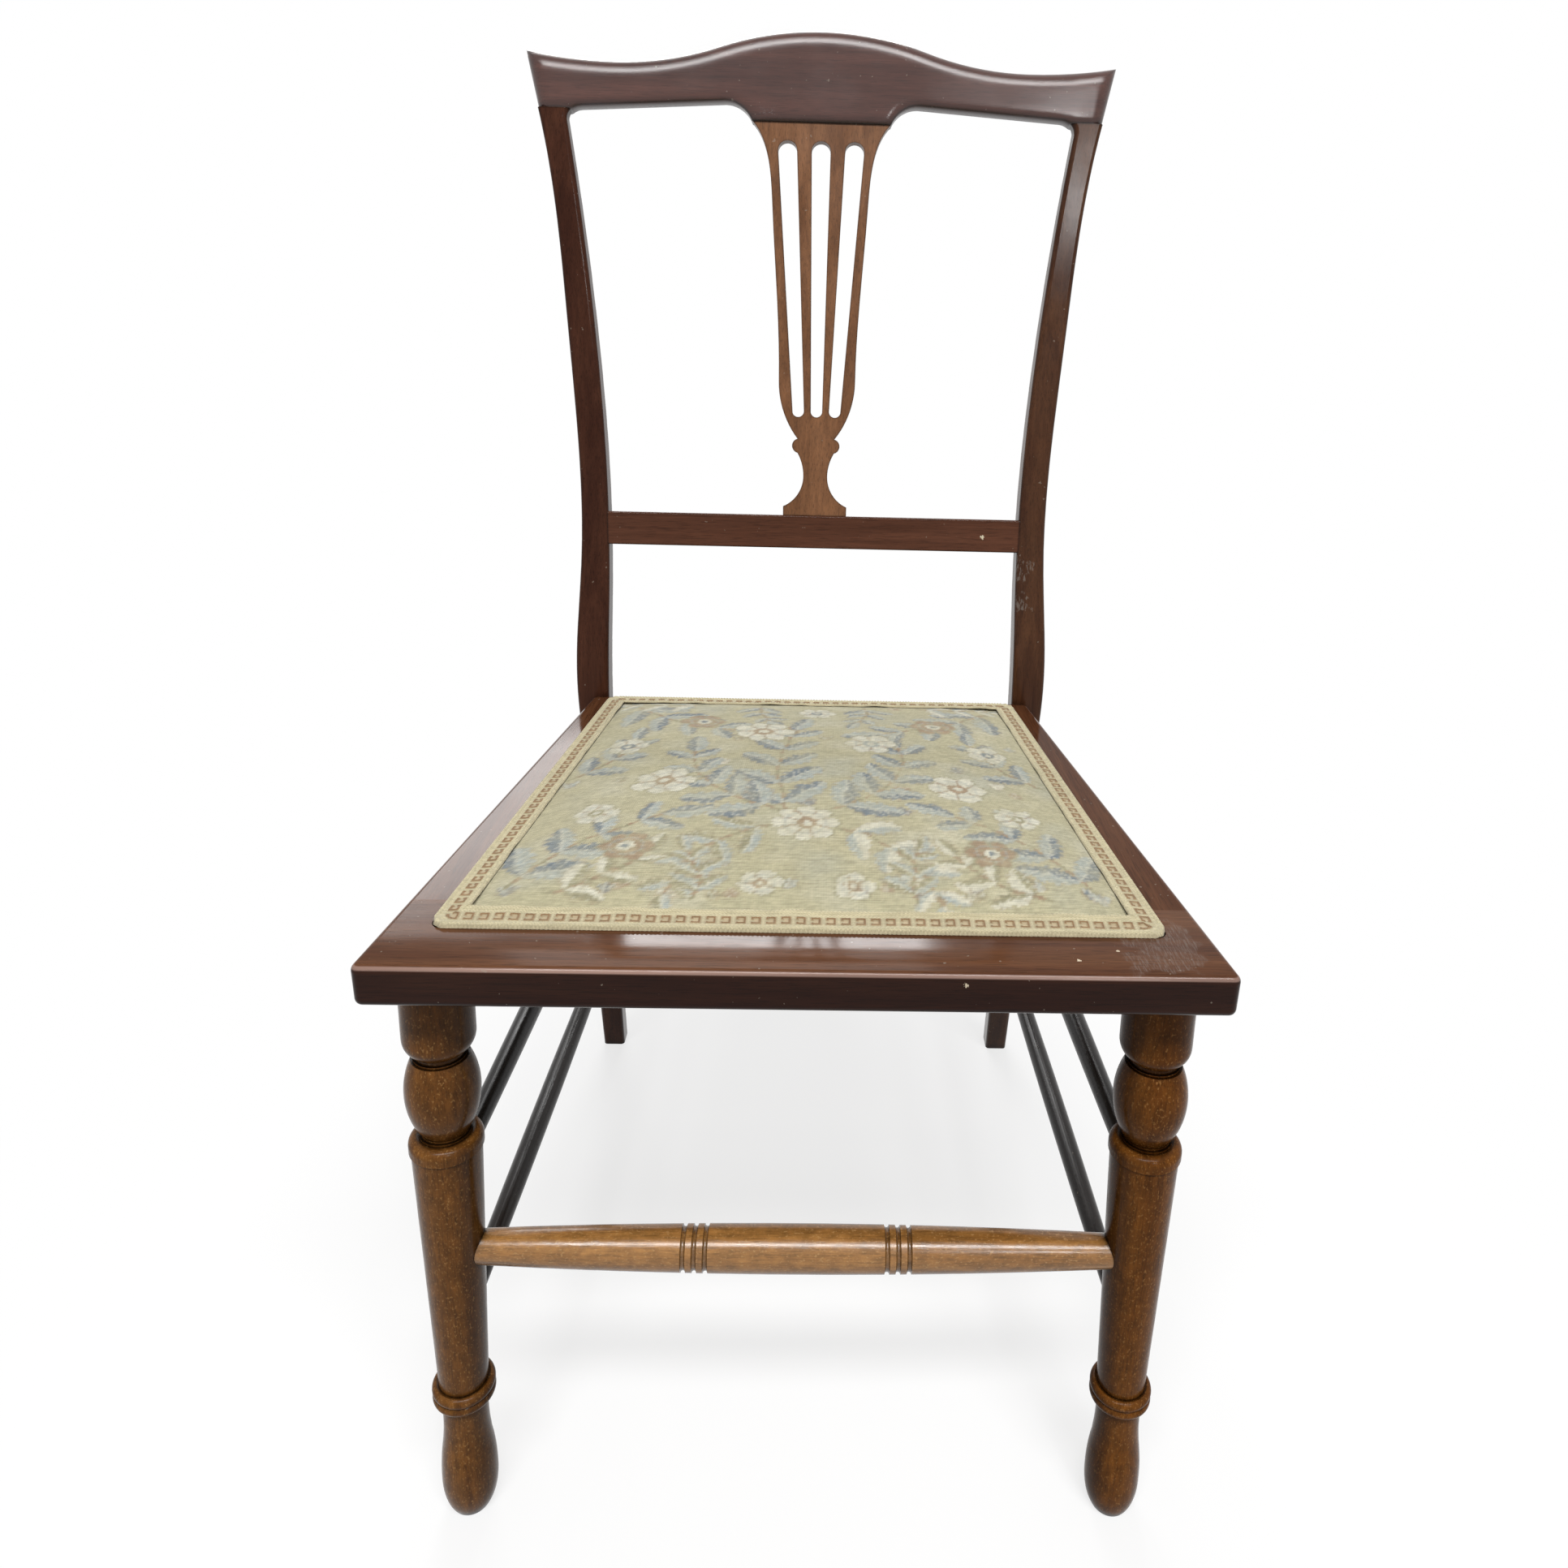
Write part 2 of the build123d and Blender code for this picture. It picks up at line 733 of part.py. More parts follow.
def crest_rear_edges(crest):
    """Back edges of the crest rail, but for those on its joints and at the ends of its ears."""
    rear = crest.edges().group_by(Axis.Z)[0]
    joint_outer = stile_top_spread / 2 + stile_top_width / 2
    joints = rear.filter_by(Axis.X).filter_by(lambda edge: abs(edge.center().X) > splat_top_width)
    ears = rear.filter_by(lambda edge: abs(edge.center().X) > joint_outer)
    return rear - joints - ears


def ear_waste():
    """Waste along the back edge of the right ear's end, which is rounded like the stile below it."""
    start = Vector(stile_top_spread / 2 + stile_top_width / 2, crest_joint)
    along = Vector(crest_width / 2, crest_joint + crest_ear_height) - start
    end_face = Plane(origin=start - along, x_dir=(along.Y, -along.X, 0), z_dir=along)
    square = Pos(0, crest_thickness) * Rectangle(2 * stile_back_round, 2 * stile_back_round)
    rounded = Pos(-stile_back_round, crest_thickness - stile_back_round) * Circle(stile_back_round)
    return extrude(end_face * (square - rounded), 3 * along.length)


def crest_rail_solid():
    """Crest rail with rounded top edges, dowel holes and the splat's mortise."""
    crest = extrude(mirrored_outline(crest_outline()), -crest_thickness)
    level = crest_joint + crest_dip_height / 2
    upper = crest.edges().filter_by(lambda edge: edge.center().Y > level)
    along = upper.filter_by(lambda edge: edge.bounding_box().size.Z < crest_thickness / 2)
    rims = along.group_by(Axis.Z)
    crest = fillet(rims[-1], crest_front_round)
    crest = fillet(crest_rear_edges(crest), crest_back_round)
    for waste in both_sides(ear_waste()):
        crest -= waste
    for hole in crest_dowels(glue_gap):
        crest -= hole
    crest -= splat_tenons(glue_gap)[0]
    return crest


def splat_outline():
    """Right half of the splat's outline, from its foot to its top."""
    foot = lower_rail_top
    plinth_half = splat_plinth_width / 2
    neck = (splat_neck_width / 2, foot + splat_neck_height)
    wing_foot = (splat_wing_width / 2 - splat_wing_step, foot + splat_wing_height - splat_wing_half_height)
    wing = (splat_wing_width / 2, foot + splat_wing_height)
    wing_top = (wing_foot[0], foot + splat_wing_height + splat_wing_half_height)
    bowl = (splat_bowl_width / 2, foot + splat_bowl_height)
    flare = (splat_flare_width / 2, splat_top - splat_flare_drop)
    shoulder = (splat_top_width / 2, splat_top)
    plinth_top = (plinth_half, foot + splat_plinth_height)
    return [
        Line((0, foot), (plinth_half, foot)),
        Line((plinth_half, foot), plinth_top),
        TangentArc(neck, plinth_top, tangent=(0, -1)),
        TangentArc(neck, wing_foot, tangent=(0, 1)),
        ThreePointArc(wing_foot, wing, wing_top),
        TangentArc(bowl, wing_top, tangent=(0, -1)),
        Spline(bowl, flare, shoulder, tangents=[(0, 1), (1, 1)]),
        Line(shoulder, (0, splat_top)),
    ]


def splat_slots():
    """The tapering slots of the splat, with round ends."""
    slots = []
    for number in range(slot_count):
        step = number - (slot_count - 1) / 2
        top = Pos(step * slot_top_pitch, splat_top - slot_top_drop) * Circle(slot_top_radius)
        foot = Pos(step * slot_foot_pitch, lower_rail_top + slot_foot_height) * Circle(slot_foot_radius)
        slots.append(make_hull(top.edges() + foot.edges()))
    return slots


def splat_solid():
    """Pierced splat with its two tenons."""
    face = mirrored_outline(splat_outline())
    for slot in splat_slots():
        face -= slot
    splat = extrude(Pos(0, 0, -splat_setback) * face, -splat_thickness)
    for tenon in splat_tenons():
        splat += tenon
    return splat


def lower_tenons(grow=0.0):
    """Tenons of the lower back rail, as one bar from stile to stile."""
    reach = waist_spread / 2 - waist_width / 2 + lower_tenon_length
    middle = (lower_rail_foot + lower_rail_top) / 2
    depth = -lower_rail_setback - lower_rail_thickness / 2
    low = (-reach, middle - lower_tenon_width / 2, depth - lower_tenon_thickness / 2)
    high = (reach, middle + lower_tenon_width / 2, depth + lower_tenon_thickness / 2)
    return block(low, high, grow)


def lower_rail_solid(leg_pair):
    """Lower back rail, fitted between the stiles, with its tenons and the splat's mortise."""
    reach = waist_spread / 2
    rear = -lower_rail_setback - lower_rail_thickness
    bar = block((-reach, lower_rail_foot, rear), (reach, lower_rail_top, -lower_rail_setback))
    bar = fillet(bar.edges().filter_by(Axis.X), lower_rail_round)
    bar -= splat_tenons(glue_gap)[1]
    bar = back_frame * bar
    for leg in leg_pair:
        bar -= leg
    middle = bar.solids().sort_by(lambda solid: abs(solid.center().X))[0]
    return middle + back_frame * lower_tenons() - back_frame * splat_tenons(glue_gap)[1]


# Upholstery

def strip(middle, half_width, low_end, high_end, bottom, lengthwise):
    """One flat strip of webbing."""
    across = (middle - half_width, middle + half_width)
    along = (low_end, high_end)
    xs, ys = (across, along) if lengthwise else (along, across)
    return block((xs[0], ys[0], bottom), (xs[1], ys[1], bottom + web_thickness))


def tack(x, y, top):
    """Cut tack with a flat head on the given level and a square shank."""
    head = extrude(Pos(x, y, top) * RegularPolygon(tack_head_radius, tack_head_sides), tack_head_thickness)
    return head + tack_shank_block(x, y, top)


def tack_shank_block(x, y, top, grow=0.0):
    """Square shank of a tack, below its head."""
    half = tack_shank / 2
    return block((x - half, y - half, top - tack_length), (x + half, y + half, top), grow)


def webbing_layout():
    """Strips and tack places of both webbing layers."""
    front = rebate_corners()[0][1] + web_end_margin
    back = rebate_corners()[2][1] - web_end_margin
    middle_y = (front_joint_y + back_joint_y) / 2
    lower_top = rebate_floor + web_thickness
    upper_top = lower_top + web_thickness
    layers = {"lengthwise": ([], []), "crosswise": ([], [])}
    for number in range(web_count):
        step = number - (web_count - 1) / 2
        x = step * web_pitch_across
        strips, tacks = layers["lengthwise"]
        strips.append(strip(x, web_width / 2, front, back, rebate_floor, True))
        for y in (front + tack_end_distance, back - tack_end_distance):
            for side in (-1, 1):
                tacks.append((x + side * tack_pitch / 2, y, lower_top))
        y = middle_y + step * web_pitch_along
        reach = rebate_half_width(y + web_width / 2, web_end_margin)
        strips, tacks = layers["crosswise"]
        strips.append(strip(y, web_width / 2, -reach, reach, lower_top, False))
        for x in (-reach + tack_end_distance, reach - tack_end_distance):
            for side in (-1, 1):
                tacks.append((x, y + side * tack_pitch / 2, upper_top))
    return layers


def pad_form(lift):
    """Crowned stuffing with an upright edge, grown on its top and sides by a cloth thickness."""
    edge_inset = gimp_width - lift
    edge = rebate_outline(edge_inset, pad_corner_round)
    edge_top = pad_bottom + pad_edge_height + lift
    sections = []
    for number in range(pad_sections):
        share = number / (pad_sections - 1)
        rise = (pad_crown - pad_edge_height) * math.sin(math.radians(90 * share))
        outline = rebate_outline(edge_inset + pad_crown_run * share, pad_corner_round)
        sections.append(Pos(0, 0, edge_top + rise) * outline)
    return extrude(Pos(0, 0, pad_bottom) * edge, edge_top - pad_bottom) + loft(sections)


webbing_top = rebate_floor + 2 * web_thickness
hessian_bottom = webbing_top + tack_head_thickness
pad_bottom = hessian_bottom + hessian_thickness


# Build the pieces

blank = frame_blank()
right_leg = front_leg_blank()
front_legs = both_sides(right_leg)
right_back = back_leg_blank()
back_legs = both_sides(right_back)
side_rungs = {
    "upper": rung(*side_rung_ends(upper_rung_height)),
    "lower": rung(*side_rung_ends(lower_rung_height)),
}
layers = webbing_layout()
tack_places = layers["lengthwise"][1] + layers["crosswise"][1]
tack_holes = [tack_shank_block(*place, grow=tack_gap) for place in tack_places]

pieces = {}

# Seat rails are parted from the blank
dowels = []
for start, end in seat_dowel_axes():
    dowels.extend(both_sides(rod(start, end, dowel_radius)))
dowel_holes = []
for start, end in seat_dowel_axes():
    dowel_holes.extend(both_sides(rod(start, end, dowel_radius, glue_gap)))
front_cut = block((-beyond, -beyond, 0), (beyond, front_joint_y, beyond))
back_cut = block((-back_joint_x, back_joint_y, 0), (back_joint_x, beyond, beyond))
right_cut = block((0, front_joint_y, 0), (beyond, beyond, beyond)) - back_cut
rails = {
    "front_seat_rail": blank & front_cut,
    "back_seat_rail": blank & back_cut,
    "right_seat_rail": blank & right_cut,
    "left_seat_rail": blank & mirror(right_cut, about=Plane.YZ),
}
rails["right_seat_rail"] += side_tenon()
rails["left_seat_rail"] += mirror(side_tenon(), about=Plane.YZ)
leg_sockets = both_sides(leg_tenon(glue_gap))
for name, rail in rails.items():
    for hole in dowel_holes + tack_holes:
        rail -= hole
    if name == "front_seat_rail":
        for socket in leg_sockets:
            rail -= socket
    pieces[name] = rail
pieces["seat_frame_dowels"] = dowels

# Front legs take their tenon and the sockets of three stretchers
right_front = right_leg + leg_tenon()
right_front -= front_tenons(glue_gap)
for height in (upper_rung_height, lower_rung_height):
    right_front -= rod(*side_rung_ends(height), rung_end_radius, glue_gap)
pieces["right_front_leg"], pieces["left_front_leg"] = both_sides(right_front)

# Back legs take the side rail, the lower back rail, the rungs and the crest dowels
right_stile = right_back - side_tenon(glue_gap)
right_stile -= back_frame * lower_tenons(glue_gap)
for height in (upper_rung_height, lower_rung_height):
    right_stile -= rod(*side_rung_ends(height), rung_end_radius, glue_gap)
right_stile -= rod(*back_rung_ends(), rung_end_radius, glue_gap)
right_stile -= back_frame * crest_dowels(glue_gap)[0]
pieces["right_back_leg"], pieces["left_back_leg"] = both_sides(right_stile)

# Stretchers
pieces["front_stretcher"] = front_stretcher_solid(front_legs)
pieces["back_stretcher"] = rung(*back_rung_ends())
for level, right_rung in side_rungs.items():
    right_piece, left_piece = both_sides(right_rung)
    pieces[f"right_{level}_stretcher"] = right_piece
    pieces[f"left_{level}_stretcher"] = left_piece

# Back
pieces["crest_rail"] = back_frame * crest_rail_solid()
pieces["back_splat"] = back_frame * splat_solid()
pieces["lower_back_rail"] = lower_rail_solid(back_legs)
pieces["crest_dowels"] = [back_frame * dowel for dowel in crest_dowels()]

# Upholstery
for name, (strips, places) in layers.items():
    holes = [tack_shank_block(*place, grow=tack_gap) for place in places]
    cut_strips = []
    for band in strips:
        for hole in holes:
            band -= hole
        cut_strips.append(band)
    pieces[f"{name}_webbing"] = cut_strips
pieces["webbing_tacks"] = [tack(*place) for place in tack_places]
hessian_plan = rebate_outline(hessian_margin, rebate_corner_round)
pieces["hessian_base"] = extrude(Pos(0, 0, hessian_bottom) * hessian_plan, hessian_thickness)
pad = pad_form(0)
pieces["stuffing_pad"] = pad
flange_plan = rebate_outline(cover_margin, rebate_corner_round)
flange = extrude(Pos(0, 0, pad_bottom) * flange_plan, cover_thickness)
pieces["tapestry_cover"] = flange + pad_form(cover_thickness) - pad
gimp_plan = rebate_outline(cover_margin, rebate_corner_round)
gimp_plan -= rebate_outline(gimp_width - cover_thickness, pad_corner_round)
pieces["gimp_braid"] = extrude(Pos(0, 0, pad_bottom + cover_thickness) * gimp_plan, gimp_thickness)

for name, piece in pieces.items():
    solid = Compound(children=list(piece)) if isinstance(piece, list) else piece
    export_step(solid, f"parts/{name}.step")
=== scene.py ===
import math

import bpy
import numpy as np
from mathutils import Matrix, Vector


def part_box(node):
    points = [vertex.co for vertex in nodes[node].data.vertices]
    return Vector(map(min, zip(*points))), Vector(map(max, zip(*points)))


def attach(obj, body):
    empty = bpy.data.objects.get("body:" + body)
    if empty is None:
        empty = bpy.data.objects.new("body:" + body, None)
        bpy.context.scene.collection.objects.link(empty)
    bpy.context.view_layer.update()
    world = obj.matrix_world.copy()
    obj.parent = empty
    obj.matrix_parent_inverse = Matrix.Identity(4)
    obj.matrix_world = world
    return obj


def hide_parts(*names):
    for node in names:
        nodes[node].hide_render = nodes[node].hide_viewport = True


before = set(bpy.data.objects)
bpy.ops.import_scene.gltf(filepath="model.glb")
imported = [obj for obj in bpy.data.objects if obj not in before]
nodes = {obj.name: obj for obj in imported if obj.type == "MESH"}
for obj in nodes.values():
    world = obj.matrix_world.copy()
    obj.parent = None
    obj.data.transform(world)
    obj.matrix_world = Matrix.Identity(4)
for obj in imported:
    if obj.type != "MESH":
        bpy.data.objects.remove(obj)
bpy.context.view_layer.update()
scene = bpy.context.scene
scene.view_settings.view_transform = "Standard"

mm = 0.001

# Plan of the rebate that holds the upholstery, as in the solids
rebate_front_half = 149.1 * mm
rebate_back_half = 127.9 * mm
rebate_front_y = -162.25 * mm
rebate_back_y = 109.25 * mm
rebate_depth = rebate_back_y - rebate_front_y
rebate_middle_y = (rebate_front_y + rebate_back_y) / 2
side_slope = (rebate_back_half - rebate_front_half) / rebate_depth

# Braid and cover
gimp_width = 12.4 * mm
gimp_pitch = 6.1 * mm
cover_edge_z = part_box("gimp_braid")[0].z
cover_inset = 1.5 * mm
cover_cell = 5 * mm
cover_step = 2.2 * mm          # rise where the cover comes out from under the braid
step_run = 6 * mm
step_margin = 4 * mm           # how far under the braid the rise begins
crown_height = 7.2 * mm
crown_run = 100 * mm
corner_pull = 0.02
inflation_cap = 2.5 * mm
inflation_frames = 20


# Camera at the photograph's place

photo_size = 1932.0
camera_place = (0.00533, -0.54724, 0.54544)
camera_yaw = math.radians(1.391)
camera_pitch = math.radians(18.127)
camera_roll = math.radians(-1.564)
focal_pixels = 1348.53
axis_pixel = (1041.51, 823.47)
sensor = 36.0


def make_camera():
    """Camera with the photograph's perspective and framing."""
    forward = Vector((
        math.sin(camera_yaw) * math.cos(camera_pitch),
        math.cos(camera_yaw) * math.cos(camera_pitch),
        -math.sin(camera_pitch),
    ))
    right = Vector((math.cos(camera_yaw), -math.sin(camera_yaw), 0))
    down = forward.cross(right)
    across = right * math.cos(camera_roll) + down * math.sin(camera_roll)
    upward = right * math.sin(camera_roll) - down * math.cos(camera_roll)
    columns = [across, upward, -forward, Vector(camera_place)]
    rows = [[column[row] for column in columns] for row in range(3)]
    camera = bpy.data.objects.new("camera", bpy.data.cameras.new("camera"))
    scene.collection.objects.link(camera)
    camera.matrix_world = Matrix(rows + [[0, 0, 0, 1]])
    camera.data.sensor_width = sensor
    camera.data.lens = focal_pixels / photo_size * sensor
    camera.data.shift_x = (photo_size / 2 - axis_pixel[0]) / photo_size
    camera.data.shift_y = (axis_pixel[1] - photo_size / 2) / photo_size
    camera.data.clip_start = 0.01
    scene.camera = camera


# Shader helpers

class Graph:
    """A tree of shader nodes, with short calls that add and join them."""

    def __init__(self, tree):
        self.tree = tree

    def feed(self, socket, value):
        if isinstance(value, bpy.types.NodeSocket):
            self.tree.links.new(value, socket)
        else:
            socket.default_value = value

    def node(self, kind, inputs, **settings):
        made = self.tree.nodes.new(kind)
        for key, value in settings.items():
            setattr(made, key, value)
        for key, value in inputs.items():
            self.feed(made.inputs[key], value)
        return made

    def span(self, value, low, high, to_low=0.0, to_high=1.0):
        """Smooth change from one result to another while a value goes from low to high."""
        inputs = {"Value": value, "From Min": low, "From Max": high, "To Min": to_low, "To Max": to_high}
        return self.node("ShaderNodeMapRange", inputs, interpolation_type="SMOOTHSTEP").outputs[0]

    def maths(self, operation, first, second=0.0):
        return self.node("ShaderNodeMath", {0: first, 1: second}, operation=operation).outputs[0]

    def product(self, first, second):
        return self.maths("MULTIPLY", first, second)

    def vectors(self, operation, first, second=(0, 0, 0)):
        return self.node("ShaderNodeVectorMath", {0: first, 1: second}, operation=operation).outputs

    def mix(self, share, first, second, blend="MIX"):
        inputs = {0: share, 6: first, 7: second}
        return self.node("ShaderNodeMix", inputs, data_type="RGBA", blend_type=blend).outputs[2]

    def either(self, share, first, second):
        """Mix of two shaders."""
        return self.node("ShaderNodeMixShader", {0: share, 1: first, 2: second}).outputs[0]

    def here(self):
        return self.node("ShaderNodeTexCoord", {}).outputs["Object"]

    def normal(self):
        return self.node("ShaderNodeNewGeometry", {}).outputs["Normal"]

    def parts(self, vector):
        """X, Y and Z of a vector."""
        return self.node("ShaderNodeSeparateXYZ", {0: vector}).outputs

    def seen_directly(self):
        """1 for camera, glossy and transmission rays."""
        path = self.node("ShaderNodeLightPath", {}).outputs
        bent = self.maths("MAXIMUM", path["Is Glossy Ray"], path["Is Transmission Ray"])
        return self.maths("MAXIMUM", path["Is Camera Ray"], bent)


class Paint(Graph):
    """A material on the standard shader."""

    def __init__(self, name, **surface):
        self.material = bpy.data.materials.new(name)
        self.material.use_nodes = True
        super().__init__(self.material.node_tree)
        self.shader = self.tree.nodes["Principled BSDF"]
        for socket, value in surface.items():
            self.shader.inputs[socket.replace("_", " ")].default_value = value

    def coordinates(self, stretch=(1, 1, 1), turn=(0, 0, 0)):
        inputs = {"Vector": self.here(), "Scale": stretch, "Rotation": turn}
        return self.node("ShaderNodeMapping", inputs).outputs[0]

    def noise(self, place, scale, detail=3.0, roughness=0.5, distortion=0.0):
        """Noise of about so many cells to the metre."""
        inputs = {
            "Vector": place,
            "Scale": scale,
            "Detail": detail,
            "Roughness": roughness,
            "Distortion": distortion,
        }
        return self.node("ShaderNodeTexNoise", inputs).outputs[0]

    def wave(self, run, pitch, drift):
        """Height of evenly spaced threads across a run, with a drift in their spacing."""
        turns = self.product(run, 2 * math.pi / pitch)
        return self.maths("SINE", self.maths("ADD", turns, drift))

    def tinted(self, share, first, second):
        return self.mix(share, (*first, 1), (*second, 1))

    def marked(self, share, colour, mark):
        """Lays a plain colour over another by a share."""
        return self.mix(share, colour, (*mark, 1))

    def darkened(self, colour, share):
        grey = self.node("ShaderNodeCombineColor", {0: share, 1: share, 2: share}).outputs[0]
        return self.mix(1.0, colour, grey, blend="MULTIPLY")

    def softened(self, radius, samples=8):
        """Normal that rounds the edges over a radius, as thick polish does."""
        return self.node("ShaderNodeBevel", {"Radius": radius}, samples=samples).outputs[0]

    def edges(self, radius):
        """1 along sharp edges, 0 on the faces."""
        turn = self.vectors("DOT_PRODUCT", self.softened(radius, samples=4), self.normal())
        return self.span(turn["Value"], 0.99, 0.86)

    def hollows(self, distance):
        """1 on open faces, towards 0 in grooves and corners."""
        return self.node("ShaderNodeAmbientOcclusion", {"Distance": distance}, samples=6).outputs["AO"]

    def spot(self, place, radius, ragged=0.5):
        """1 inside a ragged round spot."""
        here = self.here()
        gap = self.vectors("DISTANCE", here, place)["Value"]
        wobble = self.span(self.noise(here, 1.6 / radius), 0.3, 0.7, -ragged * radius, ragged * radius)
        return self.span(self.maths("ADD", gap, wobble), radius, radius * 0.7)

    def finish(self, colour, roughness, bump, depth, strength, normal=None):
        """Joins the shader's inputs. A roughness of None leaves the one the paint began with."""
        self.feed(self.shader.inputs["Base Color"], colour)
        if roughness is not None:
            self.feed(self.shader.inputs["Roughness"], roughness)
        inputs = {"Height": bump, "Distance": depth, "Strength": strength}
        if normal is not None:
            inputs["Normal"] = normal
        lifted = self.node("ShaderNodeBump", inputs).outputs[0]
        self.feed(self.shader.inputs["Normal"], lifted)
        return self.material


# Wood

grain_stretch = {"x": (0.05, 1, 1), "y": (1, 0.05, 1), "z": (1, 1, 0.05)}

# Marks of use: middle and radius of each chip or scuff
front_rail_chips = [
    ((0.0633, -0.190, 0.3027), 1.0 * mm),
    ((0.1085, -0.179, 0.307), 0.9 * mm),
    ((0.1255, -0.172, 0.307), 0.7 * mm),
]
lower_rail_chips = [
    ((0.111, 0.124, 0.4235), 2.3 * mm),
    ((0.105, 0.127, 0.4125), 1.2 * mm),
    ((0.124, 0.125, 0.4215), 1.4 * mm),
]
right_stile_scuffs = [
    ((0.130, 0.122, 0.395), 8 * mm),
    ((0.131, 0.118, 0.372), 6 * mm),
]
scratched_corner = (0.144, -0.172, 0.307)
scratched_radius = 20 * mm

# Colours of the marks, on the seat rails and on the other sawn woods
seat_chip = (0.62, 0.52, 0.38)
# Painted highlight colour for the seat rails' arris
seat_arris_highlight = (0.42, 0.27, 0.22)
seat_speck = (0.34, 0.29, 0.23)
seat_scratch = (0.27, 0.24, 0.22)
chip = (0.62, 0.55, 0.40)
rubbed_edge = (0.20, 0.10, 0.05)
speck = (0.30, 0.25, 0.20)
scuff = (0.26, 0.23, 0.20)

# Front rail's top: a flat strip beside the braid, then a slope worn down to the front arris
flat_strip = 4 * mm
worn_slope = 0.16
front_arris_y = -190 * mm


def grain_colour(paint, axis, dark, light):
    """Lengthwise figure, fine streaks and pores. Gives the colour and the pore height."""
    place = paint.coordinates(grain_stretch[axis])
    figure = paint.span(paint.noise(place, 70, 3, 0.6, 0.6), 0.3, 0.7)
    streak = paint.span(paint.noise(place, 520, 4, 0.65), 0.3, 0.75, 0.82, 1.1)
    pores = paint.span(paint.noise(place, 1900, 2, 0.5), 0.36, 0.46, 0.72, 1.0)
    colour = paint.tinted(figure, dark, light)
    colour = paint.darkened(colour, paint.product(streak, pores))
    return colour, pores


def smear(paint, gloss):
    """Patchy roughness of old polish, within a range."""
    return paint.span(paint.noise(paint.coordinates(), 26, 4, 0.6), 0.3, 0.7, *gloss)


def planed(paint, axis, colour, rough, pores, normal):
    """Finishes a sawn wood with its open pores and the long ripple left by the plane."""
    ripple = paint.noise(paint.coordinates(grain_stretch[axis]), 60, 2, 0.5)
    height = paint.maths("ADD", paint.product(pores, 0.2), ripple)
    return paint.finish(colour, rough, height, 0.25 * mm, 0.16, normal)


def polished_wood(name, axis, dark, light, wear=0.25, chips=(), scuffs=(), specular=0.1, gloss=(0.10, 0.20),
                  soften=0.0):
    """Old polish on a sawn rail, darkened along the arrises by painted shade and in hollows by painted
    shade and grime, with a few chips and scuffs.

    Gloss is the range of roughness, and soften the radius over which the polish rounds the edges.
    """
    paint = Paint(name, Specular_IOR_Level=specular)
    colour, pores = grain_colour(paint, axis, dark, light)
    place = paint.coordinates()
    # Painted shade: the wood is darkened along its arrises, where their rounding turns from the light.
    arris_shade = paint.span(paint.edges(1.6 * mm), 0.0, 1.0, 1.0, 0.25)
    colour = paint.darkened(colour, arris_shade)
    patches = paint.span(paint.noise(place, 45, 5, 0.65), 0.52, 0.66)
    rubbed = paint.product(paint.edges(0.8 * mm), paint.product(patches, wear))
    colour = paint.marked(rubbed, colour, rubbed_edge)
    # Painted shade, with some grime: darker in hollows and where parts meet, by ambient occlusion.
    grime_and_shade = paint.span(paint.hollows(9 * mm), 0.25, 0.85, 0.30, 1.0)
    colour = paint.darkened(colour, grime_and_shade)
    specks = paint.span(paint.noise(place, 420, 1, 0.4), 0.76, 0.80, 0.0, 0.35)
    colour = paint.marked(specks, colour, speck)
    for middle, radius in scuffs:
        lines = paint.span(paint.noise(paint.coordinates((1, 1, 0.25)), 800, 3, 0.6), 0.45, 0.62, 0.0, 0.4)
        colour = paint.marked(paint.product(paint.spot(middle, radius, 0.6), lines), colour, scuff)
    for middle, radius in chips:
        colour = paint.marked(paint.spot(middle, radius), colour, chip)
    normal = paint.softened(soften) if soften else None
    return planed(paint, axis, colour, smear(paint, gloss), pores, normal)


def turned_wood(name, axis, dark, light, fleck, specular=0.1, gloss=(0.16, 0.26), inner=0):
    """Rubbed golden brown turning: finely speckled, darker in its grooves by painted shade and grime, and
    on one side by painted shade.

    The side that faces right (1) or left (-1) is darkened by painted shade; 0 paints no such shaded side.
    """
    paint = Paint(name, Specular_IOR_Level=specular)
    colour, pores = grain_colour(paint, axis, dark, light)
    place = paint.coordinates(tuple(0.6 if letter == axis else 1 for letter in "xyz"))
    mottle = paint.span(paint.noise(place, 260, 4, 0.7), 0.30, 0.70, 0.74, 1.2)
    colour = paint.darkened(colour, mottle)
    flecks = paint.span(paint.noise(place, 1100, 2, 0.5), 0.56, 0.72, 0.0, 0.55)
    colour = paint.marked(flecks, colour, fleck)
    # Painted shade, with some grime: darker under the rail, in the grooves and where parts meet, by ambient
    # occlusion.
    grime_and_shade = paint.span(paint.hollows(7 * mm), 0.35, 0.95, 0.10, 1.0)
    groove_grime_and_shade = paint.span(paint.hollows(2 * mm), 0.45, 0.90, 0.15, 1.0)
    colour = paint.darkened(colour, paint.product(grime_and_shade, groove_grime_and_shade))
    # Painted shade: the side facing the other leg is darkened as if turned away from the light.
    if inner:
        shade_facing = paint.product(paint.parts(paint.normal())["X"], inner)
        colour = paint.darkened(colour, paint.span(shade_facing, 0.25, 0.95, 1.0, 0.45))
    rough = paint.span(paint.noise(place, 140, 3, 0.6), 0.3, 0.7, *gloss)
    height = paint.maths("ADD", pores, paint.product(mottle, 0.5))
    return paint.finish(colour, rough, height, 0.15 * mm, 0.2)


def worn_normal(paint, top):
    """Normal of the front rail's top, which is worn down a little from the braid to the front arris."""
    y = paint.parts(paint.coordinates())["Y"]
    slope = paint.span(y, rebate_front_y - flat_strip, front_arris_y, 0.0, -worn_slope)
    lean = paint.node("ShaderNodeCombineXYZ", {"Y": paint.product(slope, top)}).outputs[0]
    leaning = paint.vectors("ADD", paint.normal(), lean)[0]
    return paint.vectors("NORMALIZE", leaning)[0]


